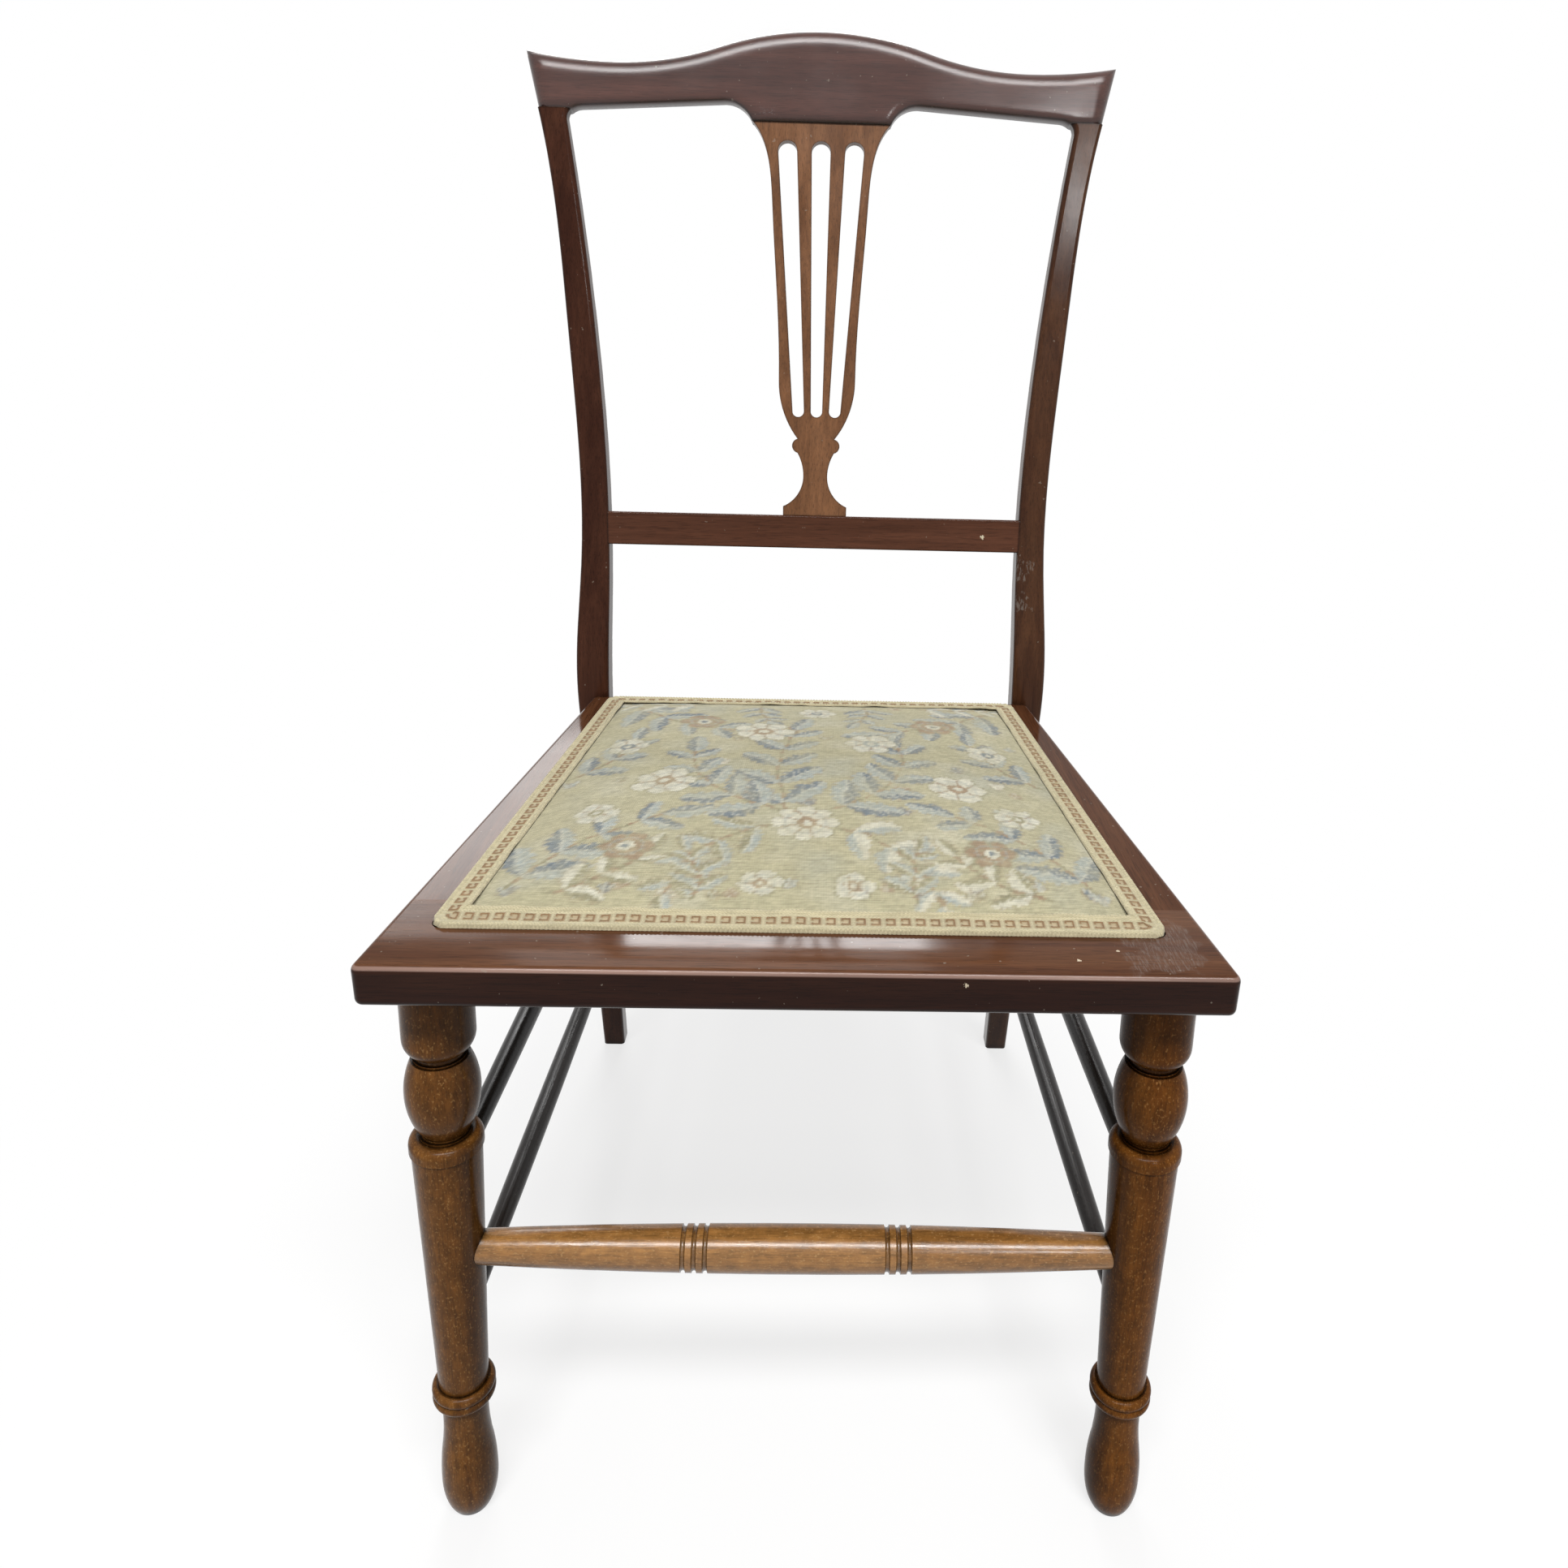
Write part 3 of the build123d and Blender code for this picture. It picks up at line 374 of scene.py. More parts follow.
def seat_rail_wood(name, axis, specular):
    """Seat rail: a lighter lit brown on top that also stands for rubbing, a near black shaded copy on the
    upright faces, a pale painted highlight along the arris, painted shade beside the braid, and scratches
    at one corner.
    """
    paint = Paint(name, Specular_IOR_Level=specular)
    # Painted light: the tops take a lighter lit copy of the wood, which also stands for rubbing, and the
    # upright faces a near black shaded copy.
    shaded_upright, pores = grain_colour(paint, axis, (0.022, 0.006, 0.003), (0.040, 0.013, 0.006))
    rubbed = grain_colour(paint, axis, (0.078, 0.028, 0.012), (0.132, 0.054, 0.024))[0]
    up = paint.parts(paint.normal())["Z"]
    top = paint.span(up, 0.5, 0.98)
    colour = paint.mix(top, shaded_upright, rubbed)
    # Painted highlight: a pale line along the rounded arris stands for the light reflected there.
    arris_highlight = paint.product(paint.span(up, 0.30, 0.55), paint.span(up, 0.93, 0.78))
    lengthwise = paint.noise(paint.coordinates(grain_stretch[axis]), 60, 3, 0.6)
    patches = paint.span(lengthwise, 0.3, 0.65, 0.3, 0.75)
    colour = paint.marked(paint.product(arris_highlight, patches), colour, seat_arris_highlight)
    corner = paint.product(paint.spot(scratched_corner, scratched_radius, 0.45), top)
    lines = paint.noise(paint.coordinates((1, 0.14, 1), (0, 0, 0.9)), 1300, 3, 0.7)
    scratch = paint.product(corner, paint.span(lines, 0.44, 0.68, 0.06, 0.30))
    colour = paint.marked(scratch, colour, seat_scratch)
    # Painted shade: darker in hollows, and a dark line beside the braid that stands for its contact shadow.
    colour = paint.darkened(colour, paint.span(paint.hollows(4 * mm), 0.4, 0.85, 0.15, 1.0))
    specks = paint.span(paint.noise(paint.coordinates(), 420, 1, 0.4), 0.75, 0.79, 0.0, 0.4)
    colour = paint.marked(specks, colour, seat_speck)
    for middle, radius in front_rail_chips:
        colour = paint.marked(paint.spot(middle, radius), colour, seat_chip)
    rough = paint.maths("ADD", smear(paint, (0.09, 0.15)), paint.product(scratch, 0.3))
    normal = worn_normal(paint, top) if name == "front_seat_rail" else None
    return planed(paint, axis, colour, rough, pores, normal)


def dress(name, finish, axis, *shades, **look):
    """Gives a node its own finish along an axis. The shades are dark, light and, on a turning, fleck."""
    nodes[name].data.materials[0] = finish(name, axis, *shades, **look)


def dress_wood():
    """Gives every wooden node its finish."""
    dress("left_back_leg", polished_wood, "z", (0.040, 0.013, 0.007), (0.072, 0.026, 0.014), specular=0.07)
    dress("right_back_leg", polished_wood, "z", (0.046, 0.016, 0.007), (0.088, 0.036, 0.016),
          wear=0.6, specular=0.12, scuffs=right_stile_scuffs)
    dress("crest_rail", polished_wood, "x", (0.052, 0.017, 0.012), (0.086, 0.031, 0.022),
          specular=0.54, gloss=(0.14, 0.20), soften=8 * mm)
    dress("lower_back_rail", polished_wood, "x", (0.068, 0.024, 0.012), (0.110, 0.042, 0.023),
          chips=lower_rail_chips)
    dress("back_splat", polished_wood, "z", (0.128, 0.052, 0.020), (0.215, 0.096, 0.042),
          specular=0.2, gloss=(0.22, 0.34))
    dress("front_seat_rail", seat_rail_wood, "x", specular=0.12)
    dress("back_seat_rail", seat_rail_wood, "x", specular=0.12)
    dress("left_seat_rail", seat_rail_wood, "y", specular=0.18)
    dress("right_seat_rail", seat_rail_wood, "y", specular=0.05)
    dress("left_front_leg", turned_wood, "z", (0.105, 0.038, 0.008), (0.180, 0.072, 0.015),
          (0.36, 0.19, 0.065), inner=1)
    dress("right_front_leg", turned_wood, "z", (0.094, 0.030, 0.005), (0.162, 0.058, 0.010),
          (0.33, 0.16, 0.050), specular=0.06, inner=-1)
    dress("front_stretcher", turned_wood, "x", (0.22, 0.092, 0.020), (0.38, 0.182, 0.052),
          (0.48, 0.27, 0.10), specular=0.55, gloss=(0.18, 0.26))
    rungs = [f"{side}_{level}_stretcher" for side in ("left", "right") for level in ("upper", "lower")]
    for name in [*rungs, "back_stretcher"]:
        dress(name, polished_wood, "x" if name == "back_stretcher" else "y",
              (0.010, 0.008, 0.007), (0.020, 0.015, 0.013), specular=0.2, gloss=(0.2, 0.3))
    for name in ("crest_dowels", "seat_frame_dowels"):
        dress(name, polished_wood, "y", (0.42, 0.28, 0.15), (0.60, 0.43, 0.26), wear=0.0)


def dress_tacks():
    """Blued steel with a little rust."""
    paint = Paint("tack_steel", Metallic=0.9)
    rust = paint.span(paint.noise(paint.coordinates(), 900, 4, 0.6), 0.5, 0.66, 0.0, 0.8)
    colour = paint.tinted(rust, (0.10, 0.11, 0.14), (0.12, 0.05, 0.02))
    rough = paint.span(rust, 0.0, 0.8, 0.35, 0.8)
    nodes["webbing_tacks"].data.materials[0] = paint.finish(colour, rough, rust, 0.1 * mm, 0.3)


# Cloth materials

def woven_cloth(name, warp, weft, pitch, relief, gaps=0.0):
    """Plain weave with uneven yarns, in plan coordinates, darkened between the yarns by painted shade."""
    paint = Paint(name, Roughness=0.9, Specular_IOR_Level=0.15, Sheen_Weight=0.1)
    place = paint.coordinates()
    plan = paint.parts(place)
    drift = paint.product(paint.noise(place, 60, 3, 0.6), 2.5)
    across = paint.wave(plan["X"], pitch, drift)
    along = paint.wave(plan["Y"], pitch, drift)
    over = paint.span(paint.product(across, along), -0.4, 0.4)
    slub = paint.span(paint.noise(place, 0.25 / pitch, 3, 0.6), 0.3, 0.7, 0.72, 1.15)
    colour = paint.darkened(paint.tinted(over, warp, weft), slub)
    height = paint.maths("MAXIMUM", paint.maths("ABSOLUTE", across), paint.maths("ABSOLUTE", along))
    # Painted shade between the yarns.
    gap_shade = paint.span(height, gaps, gaps + 0.35, 0.3, 1.0)
    return paint.finish(paint.darkened(colour, gap_shade), None, height, relief, 0.6)


def painted_cloth(name, pitch, relief, sheen):
    """Cloth whose colours are in the mesh, with a fine ribbed weave, darker in its dips and a little
    lighter on its ribs by painted shade and light.
    """
    paint = Paint(name, Roughness=0.88, Specular_IOR_Level=0.12, Sheen_Weight=sheen)
    shade = paint.node("ShaderNodeVertexColor", {}, layer_name="shade").outputs["Color"]
    place = paint.coordinates()
    plan = paint.parts(place)
    drift = paint.product(paint.noise(place, 90, 3, 0.6), 3.0)
    rib = paint.wave(plan["Y"], pitch, drift)
    warp = paint.wave(plan["X"], pitch / 1.3, drift)
    height = paint.maths("ADD", rib, paint.product(warp, 0.6))
    # Painted shade and light: darker in the weave's dips, a little lighter on its ribs.
    dip_shade = paint.span(height, -1.5, 0.6, 0.80, 1.04)
    slub = paint.span(paint.noise(paint.coordinates((0.12, 1, 1)), 900, 2, 0.6), 0.3, 0.7, 0.86, 1.1)
    colour = paint.darkened(shade, paint.product(dip_shade, slub))
    return paint.finish(colour, None, height, relief, 0.5)


# Meshes

def ramp(value, run):
    """0 below 0, 1 above a run, and straight between."""
    return np.clip(value / run, 0, 1)


def make_object(name, points, faces, smooth=True):
    """A mesh object from points and faces, linked and ready to ride."""
    mesh = bpy.data.meshes.new(name)
    mesh.from_pydata([tuple(point) for point in points], [], [tuple(face) for face in faces])
    mesh.polygons.foreach_set("use_smooth", [smooth] * len(mesh.polygons))
    made = bpy.data.objects.new(name, mesh)
    scene.collection.objects.link(made)
    return made


def grid_faces(rows, columns, closed=False):
    """Quads of a grid of points, row by row; closed joins the last row to the first."""
    start = np.arange((rows if closed else rows - 1) * columns).reshape(-1, columns)[:, :-1]
    following = (start + columns) % (rows * columns)
    return np.stack([start, start + 1, following + 1, following], axis=-1).reshape(-1, 4)


def applied(made):
    """Replaces an object's mesh by its evaluated one and clears its modifiers."""
    graph = bpy.context.evaluated_depsgraph_get()
    mesh = bpy.data.meshes.new_from_object(made.evaluated_get(graph))
    made.modifiers.clear()
    made.data = mesh


def coordinates_of(made):
    points = np.zeros(len(made.data.vertices) * 3, np.float32)
    made.data.vertices.foreach_get("co", points)
    return points.reshape(-1, 3).astype(float)


def set_shade(made, colours):
    """Stores one linear colour for each point."""
    layer = made.data.color_attributes.new("shade", "FLOAT_COLOR", "POINT")
    full = np.concatenate([colours, np.ones((len(colours), 1))], axis=1)
    layer.data.foreach_set("color", full.astype(np.float32).ravel())


def finish_piece(made, slot, *replaced):
    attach(made, "root")
    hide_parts(*replaced)


# Seat cover

def half_width(y, inset=0.0):
    """Half the rebate's width at a place along the seat, drawn in by an inset."""
    return rebate_front_half + side_slope * (y - rebate_front_y) - inset * math.hypot(1, side_slope)


def edge_distance(points):
    """Plan distance from the rebate's nearest edge, softened along the corners' diagonals."""
    x, y = points[:, 0], points[:, 1]
    side = 1 / math.hypot(1, side_slope)
    gaps = np.stack([
        y - rebate_front_y,
        rebate_back_y - y,
        (half_width(y) - x) * side,
        (half_width(y) + x) * side,
    ])
    soft = 9 * mm
    return -soft * np.log(np.exp(-gaps / soft).sum(0))


def crown(points):
    """Height of the cover over its edge: a small step at the braid, then a slow swell."""
    inside = edge_distance(points) - gimp_width
    step = ramp(inside + step_margin, step_run)
    swell = np.sin(ramp(inside, crown_run) * math.pi / 2)
    return cover_step * step * step * (3 - 2 * step) + crown_height * swell


def cover_grid(inset):
    """Plan points of a grid over the rebate, with its corners drawn in."""
    columns = round(2 * rebate_front_half / cover_cell)
    rows = round(rebate_depth / cover_cell)
    a, b = np.meshgrid(np.linspace(-1, 1, columns), np.linspace(-1, 1, rows))
    pull = 1 - corner_pull * (a * b) ** 12
    a, b = a * pull, b * pull
    y = rebate_middle_y + b * (rebate_depth / 2 - inset)
    x = a * half_width(y, inset)
    points = np.stack([x, y, np.zeros_like(x)], axis=-1).reshape(-1, 3)
    return points, rows, columns


def inflate(made, pinned):
    """Blows the cloth up a little between its fixed edges and keeps the result."""
    before = coordinates_of(made)
    group = made.vertex_groups.new(name="fixed")
    group.add([int(i) for i in np.flatnonzero(pinned)], 1.0, "REPLACE")
    cloth = made.modifiers.new("cloth", "CLOTH")
    cloth.settings.quality = 6
    cloth.settings.mass = 0.25
    cloth.settings.tension_stiffness = 25
    cloth.settings.compression_stiffness = 25
    cloth.settings.shear_stiffness = 8
    cloth.settings.bending_stiffness = 2.0
    cloth.settings.use_pressure = True
    cloth.settings.uniform_pressure_force = 3.0
    cloth.settings.effector_weights.gravity = 0
    cloth.settings.vertex_group_mass = "fixed"
    for step in range(inflation_frames):
        scene.frame_set(step + 1)
    applied(made)
    scene.frame_set(1)
    moved = coordinates_of(made) - before
    length = np.linalg.norm(moved, axis=1, keepdims=True)
    moved *= inflation_cap / np.maximum(length, inflation_cap)
    made.data.vertices.foreach_set("co", (before + moved).astype(np.float32).ravel())


def make_cover():
    """Tapestry cover, blown up over its stuffing. Also gives its grid for the pad below it."""
    points, rows, columns = cover_grid(cover_inset)
    points[:, 2] = cover_edge_z + crown(points)
    cover = make_object("seat_cover", points, grid_faces(rows, columns))
    inflate(cover, edge_distance(points) < gimp_width)
    grid = coordinates_of(cover).reshape(rows, columns, 3)
    cover.modifiers.new("smooth", "SUBSURF").levels = 2
    applied(cover)
    set_shade(cover, tapestry_colours(coordinates_of(cover)))
    cover.data.materials.append(painted_cloth("tapestry", pitch=0.9 * mm, relief=0.12 * mm, sheen=0.15))
    finish_piece(cover, "tapestry", "tapestry_cover")
    return cover, grid


# Tapestry design: leaf sprays and flowers on a straw ground

straw = (0.460, 0.426, 0.276)
slate = (0.150, 0.190, 0.230)
mist = (0.36, 0.40, 0.385)
ivory = (0.66, 0.64, 0.53)
russet = (0.33, 0.225, 0.145)
olive = (0.285, 0.265, 0.165)
sand = (0.44, 0.39, 0.25)

# Shapes of the motifs, in millimetres and radians or as shares of a leaf's length
leaf_teeth = 5
leaf_veins = 6
leaf_half_width = 0.26
leaf_angle = 0.85
stem_half_width = 0.9
stem_steps = 4                 # for each pair of leaves
tufts = 46
edge_tufts = 22

# Sprays: base x and y, heading, length, bend, leaf length, pairs of leaves, and the two leaf colours.
# Places are millimetres from the middle of the cover's front edge, angles are degrees.
sprays = [
    (-8, 88, 104, 112, -30, 33, 5, slate, mist),
    (-12, 92, 158, 92, -70, 30, 5, slate, mist),
    (10, 92, 30, 96, 72, 31, 5, mist, slate),
    (-14, 78, 200, 74, 66, 24, 4, mist, olive),
    (14, 76, -24, 78, -62, 25, 4, ivory, mist),
    (-126, 26, 66, 86, -44, 32, 4, slate, mist),
    (-108, 22, 20, 50, 46, 21, 3, ivory, olive),
    (126, 28, 112, 84, 42, 31, 4, mist, slate),
    (104, 22, 160, 48, -44, 21, 3, ivory, olive),
    (-106, 250, -60, 84, 44, 31, 4, slate, mist),
    (-66, 256, 200, 46, -40, 22, 3, mist, ivory),
    (108, 248, 238, 86, -42, 32, 4, slate, mist),
    (66, 256, -22, 46, 44, 22, 3, mist, ivory),
    (-124, 140, 34, 56, 54, 25, 3, mist, slate),
    (122, 138, 148, 58, -54, 25, 3, slate, mist),
    (-46, 20, 84, 34, 30, 18, 3, olive, mist),
    (48, 20, 98, 36, -28, 18, 3, olive, mist),
    (-30, 256, -96, 38, 34, 20, 3, slate, mist),
    (34, 256, -82, 38, -34, 20, 3, mist, slate),
]

# Flowers: middle x and y, radius, petals, petal colour and heart colour
flowers = [
    (-26, 196, 17, 7, ivory, russet),
    (34, 178, 14, 6, ivory, mist),
    (-72, 126, 16, 7, ivory, russet),
    (76, 122, 15, 6, ivory, russet),
    (0, 80, 16, 8, ivory, russet),
    (-80, 58, 12, 6, russet, ivory),
    (84, 56, 12, 6, russet, ivory),
    (-100, 92, 11, 6, ivory, olive),
    (102, 94, 11, 6, ivory, olive),
    (-62, 214, 13, 6, russet, ivory),
    (72, 212, 13, 6, russet, ivory),
    (-100, 178, 11, 5, ivory, slate),
    (98, 174, 11, 5, ivory, slate),
    (-18, 32, 9, 5, ivory, russet),
    (22, 30, 9, 5, ivory, russet),
    (4, 238, 11, 6, ivory, slate),
]


def lay(colours, mask, colour):
    """Lays a colour over others by a mask."""
    colours += mask[:, None] * (np.array(colour) - colours)


def soft_edge(gap, width=0.8):
    """1 inside (gap below 0), 0 outside, over a soft edge."""
    return np.clip(0.5 - gap / width, 0, 1)


def lay_leaf(colours, place, base, heading, length, first, second):
    """Toothed leaf in two tones, with a brown outline, a pale midrib and pale strokes."""
    near = np.flatnonzero(np.hypot(place[:, 0] - base[0], place[:, 1] - base[1]) < length * 1.1)
    local = place[near] - base
    along = (local[:, 0] * math.cos(heading) + local[:, 1] * math.sin(heading)) / length
    across = -local[:, 0] * math.sin(heading) + local[:, 1] * math.cos(heading)
    teeth = 0.84 + 0.16 * np.cos((along + np.abs(across) / length) * 2 * math.pi * leaf_teeth)
    inside = np.clip(along * (1 - along) * 4, 0, 1) ** 0.7
    width = length * leaf_half_width * inside * teeth
    gap = np.where((along > 0) & (along < 1), np.abs(across) - width, 9.0)
    part = colours[near]
    lay(part, soft_edge(gap - 0.8, 1.2) * 0.4, russet)
    lay(part, soft_edge(gap, 1.2) * (across >= 0), first)
    lay(part, soft_edge(gap, 1.2) * (across < 0), second)
    veins = np.cos((along - np.abs(across) / length) * 2 * math.pi * leaf_veins)
    lay(part, np.clip(veins - 0.55, 0, 1) * (gap < -0.4) * 1.1, ivory)
    lay(part, soft_edge(np.abs(across) - 0.5) * (gap < 0) * 0.6, ivory)
    colours[near] = part


def lay_spray(colours, place, x, y, heading, length, bend, leaf, pairs, first, second):
    """Curved stem with leaves on both sides and one at its tip."""
    steps = stem_steps * pairs
    spot = np.array([x, y], float)
    angle = math.radians(heading)
    for step in range(steps):
        following = spot + length / steps * np.array([math.cos(angle), math.sin(angle)])
        near = np.abs(place - spot).max(1) < length / steps + 3
        run = following - spot
        share = np.clip(((place[near] - spot) @ run) / (run @ run), 0, 1)
        gap = np.linalg.norm(place[near] - spot - share[:, None] * run, axis=1)
        part = colours[near]
        lay(part, soft_edge(gap - stem_half_width), russet if step % 2 else olive)
        colours[near] = part
        if step % stem_steps == stem_steps // 2:
            size = leaf * (1 - 0.4 * step / steps)
            for side in (-1, 1):
                lay_leaf(colours, place, spot, angle + side * leaf_angle, size, first, second)
        spot = following
        angle += math.radians(bend) / steps
    lay_leaf(colours, place, spot, angle, leaf * 0.8, first, second)


def lay_flower(colours, place, x, y, radius, petals, petal, heart):
    """Round flower with notched petals, darker between them, and a ringed heart."""
    local = place - np.array([x, y], float)
    far = np.linalg.norm(local, axis=1)
    near = np.flatnonzero(far < radius * 1.4)
    far = far[near]
    turn = np.arctan2(local[near, 1], local[near, 0])
    lobe = np.abs(np.cos(turn * petals / 2))
    rim = radius * (0.72 + 0.28 * lobe ** 0.7)
    part = colours[near]
    lay(part, soft_edge(far - rim - 1.0) * 0.7, olive)
    lay(part, soft_edge(far - rim), petal)
    shade = soft_edge(lobe - 0.28, 0.3) * soft_edge(far - rim + 0.6)
    lay(part, shade * 0.8, russet if petal is not russet else olive)
    lay(part, soft_edge(np.abs(far - radius * 0.62) - 0.6) * 0.5, mist)
    lay(part, soft_edge(far - radius * 0.34), heart)
    lay(part, soft_edge(far - radius * 0.16), ivory if heart is not ivory else slate)
    colours[near] = part


def lay_grass(colours, place, seed):
    """Short upright tufts scattered along the near edge and between the sprays."""
    spread = np.random.default_rng(seed)
    for number in range(tufts):
        x = spread.uniform(-128, 128)
        y = spread.uniform(18, 30) if number < edge_tufts else spread.uniform(40, 250)
        tone = (mist, olive, russet, slate, ivory)[number % 5]
        for blade in (-0.5, 0.0, 0.5):
            size = spread.uniform(5, 9)
            lay_leaf(colours, place, np.array([x, y]), math.pi / 2 + blade, size, tone, tone)


def cloud(place, seed, sizes):
    """Smooth seeded noise about 0 from a few waves of each size."""
    waves = 6
    spread = np.random.default_rng(seed)
    total = np.zeros(len(place))
    for size in sizes:
        for _ in range(waves):
            angle = spread.uniform(0, 2 * math.pi)
            phase = spread.uniform(0, 2 * math.pi)
            way = np.array([math.cos(angle), math.sin(angle)]) / (size * spread.uniform(0.7, 1.4))
            total += np.sin(place @ way * 2 * math.pi + phase)
    return total / (waves * len(sizes)) * 2


def tapestry_colours(points):
    """Colours of the cover, from its plan in millimetres."""
    place = np.stack([points[:, 0], points[:, 1] - rebate_front_y], axis=1) / mm
    woven = place + np.random.default_rng(7).uniform(-0.55, 0.55, place.shape)
    woven += 1.3 * np.stack([cloud(place, seed, sizes=[14, 30]) for seed in (3, 4)], axis=1)
    colours = np.tile(np.array(straw), (len(place), 1))
    lay(colours, np.clip(cloud(place, seed=11, sizes=[40, 90]), 0, 1) * 0.35, sand)
    lay(colours, np.clip(cloud(place, seed=12, sizes=[25, 60]), 0, 1) * 0.4, ivory)
    lay(colours, np.clip(cloud(place, seed=13, sizes=[30, 70]), 0, 1) * 0.3, mist)
    lay_grass(colours, woven, seed=21)
    for spray in sprays:
        lay_spray(colours, woven, *spray)
    for flower in flowers:
        lay_flower(colours, woven, *flower)
    faded = np.clip(0.40 + 0.42 * cloud(place, seed=15, sizes=[9, 22, 50]), 0.10, 0.85)
    lay(colours, faded * 0.75, straw)
    threads = np.random.default_rng(5).uniform(0.88, 1.08, len(place))
    return colours * threads[:, None]


# Stuffing below the cover

pad_margin = 3                 # cells of the cover's grid left free along its edge
pad_gap = 1.3 * mm             # below the cover
pad_floor_gap = 0.1 * mm
pad_bulge = 0.004              # of the rim, as a share of its distance from the middle


def make_pad(grid):
    """Crowned stuffing that fills the space under the cover."""
    top = grid[pad_margin:-pad_margin, pad_margin:-pad_margin].copy()
    rows, columns = top.shape[:2]
    count = rows * columns
    top[..., 2] -= pad_gap
    bottom = top.copy()
    bottom[..., 2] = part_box("stuffing_pad")[0].z + pad_floor_gap
    index = np.arange(count).reshape(rows, columns)
    loop = np.concatenate([index[0, :-1], index[:-1, -1], index[-1, :0:-1], index[:0:-1, 0]])
    rim = ((top + bottom) / 2).reshape(-1, 3)[loop]
    rim[:, :2] += (rim[:, :2] - [0, rebate_middle_y]) * pad_bulge
    points = np.concatenate([top.reshape(-1, 3), bottom.reshape(-1, 3), rim])
    faces = list(grid_faces(rows, columns))
    faces += [face[::-1] + count for face in grid_faces(rows, columns)]
    for number, a in enumerate(loop):
        following = (number + 1) % len(loop)
        b = loop[following]
        c = 2 * count + number
        d = 2 * count + following
        faces.append((b, a, c, d))
        faces.append((d, c, a + count, b + count))
    pad = make_object("seat_pad", points, faces)
    pad.modifiers.new("smooth", "SUBSURF").levels = 1
    applied(pad)
    paint = Paint("stuffing", Roughness=0.95, Specular_IOR_Level=0.1)
    fibre = paint.noise(paint.coordinates((1, 0.2, 1)), 900, 5, 0.7, 1.5)
    colour = paint.tinted(paint.span(fibre, 0.3, 0.7), (0.12, 0.08, 0.05), (0.42, 0.33, 0.21))
    pad.data.materials.append(paint.finish(colour, None, fibre, 0.5 * mm, 0.7))
    finish_piece(pad, "stuffing", "stuffing_pad")


# Braid round the cover

braid_corner = 9.0 * mm        # corner round of the braid's lines, less their inset
braid_outer_corner = 6.2 * mm
braid_least_corner = 0.5 * mm
braid_corner_steps = 40
braid_side_steps = 680
braid_rows = 34
braid_lift = 1.5 * mm          # of its inner edge, over the cover's step
braid_tuck = 0.7 * mm          # of its outer edge, below the frame's top
scallop = 0.16 * mm
scallop_rows = 4

# Woven pattern, in millimetres
cord_twist = 1.75              # run of one twist
key_middle = 6.15              # from the outer edge
key_half = 2.15
key_hole = 0.85
key_squash = 0.88
key_edge = 0.35
thread_edge = 0.3
bar_start = 2.5                # from the middle of a key, along the braid
bar_half = 2.6
ground_height = 0.75
key_height = 1.35
bar_height = 1.15
stitch_run = 0.8
thread_run = 0.62
thread_width = 0.7

# Waves of the braid's inner edge: height and run in millimetres, and phase
braid_waves = [(0.35, 61, 0), (0.25, 23, 1)]

cream = (0.63, 0.565, 0.370)
braid_ground = (0.50, 0.43, 0.28)
braid_russet = (0.25, 0.125, 0.047)
braid_pale = (0.56, 0.44, 0.28)


def braid_line(inset):
    """Points of the rounded outline at an inset from the rebate's edge, front left first."""
    front = rebate_front_y + inset
    back = rebate_back_y - inset
    corners = [
        Vector((-half_width(front, inset), front)),
        Vector((half_width(front, inset), front)),
        Vector((half_width(back, inset), back)),
        Vector((-half_width(back, inset), back)),
    ]
    radius = min(braid_outer_corner, max(braid_corner - inset, braid_least_corner))
    arcs = []
    for number, corner in enumerate(corners):
        before = (corners[number - 1] - corner).normalized()
        after = (corners[(number + 1) % 4] - corner).normalized()
        half_angle = before.angle(after) / 2
        middle = corner + (before + after).normalized() * radius / math.sin(half_angle)
        start = corner + before * radius / math.tan(half_angle) - middle
        sweep = (math.pi - 2 * half_angle) / (braid_corner_steps - 1)
        turns = [Matrix.Rotation(sweep * step, 2) for step in range(braid_corner_steps)]
        arcs.append([middle + turn @ start for turn in turns])
    line = []
    for number, arc in enumerate(arcs):
        leave = arc[-1]
        arrive = arcs[(number + 1) % 4][0]
        line += arc
        line += [leave.lerp(arrive, step / braid_side_steps) for step in range(1, braid_side_steps)]
    return np.array([tuple(point) for point in line])


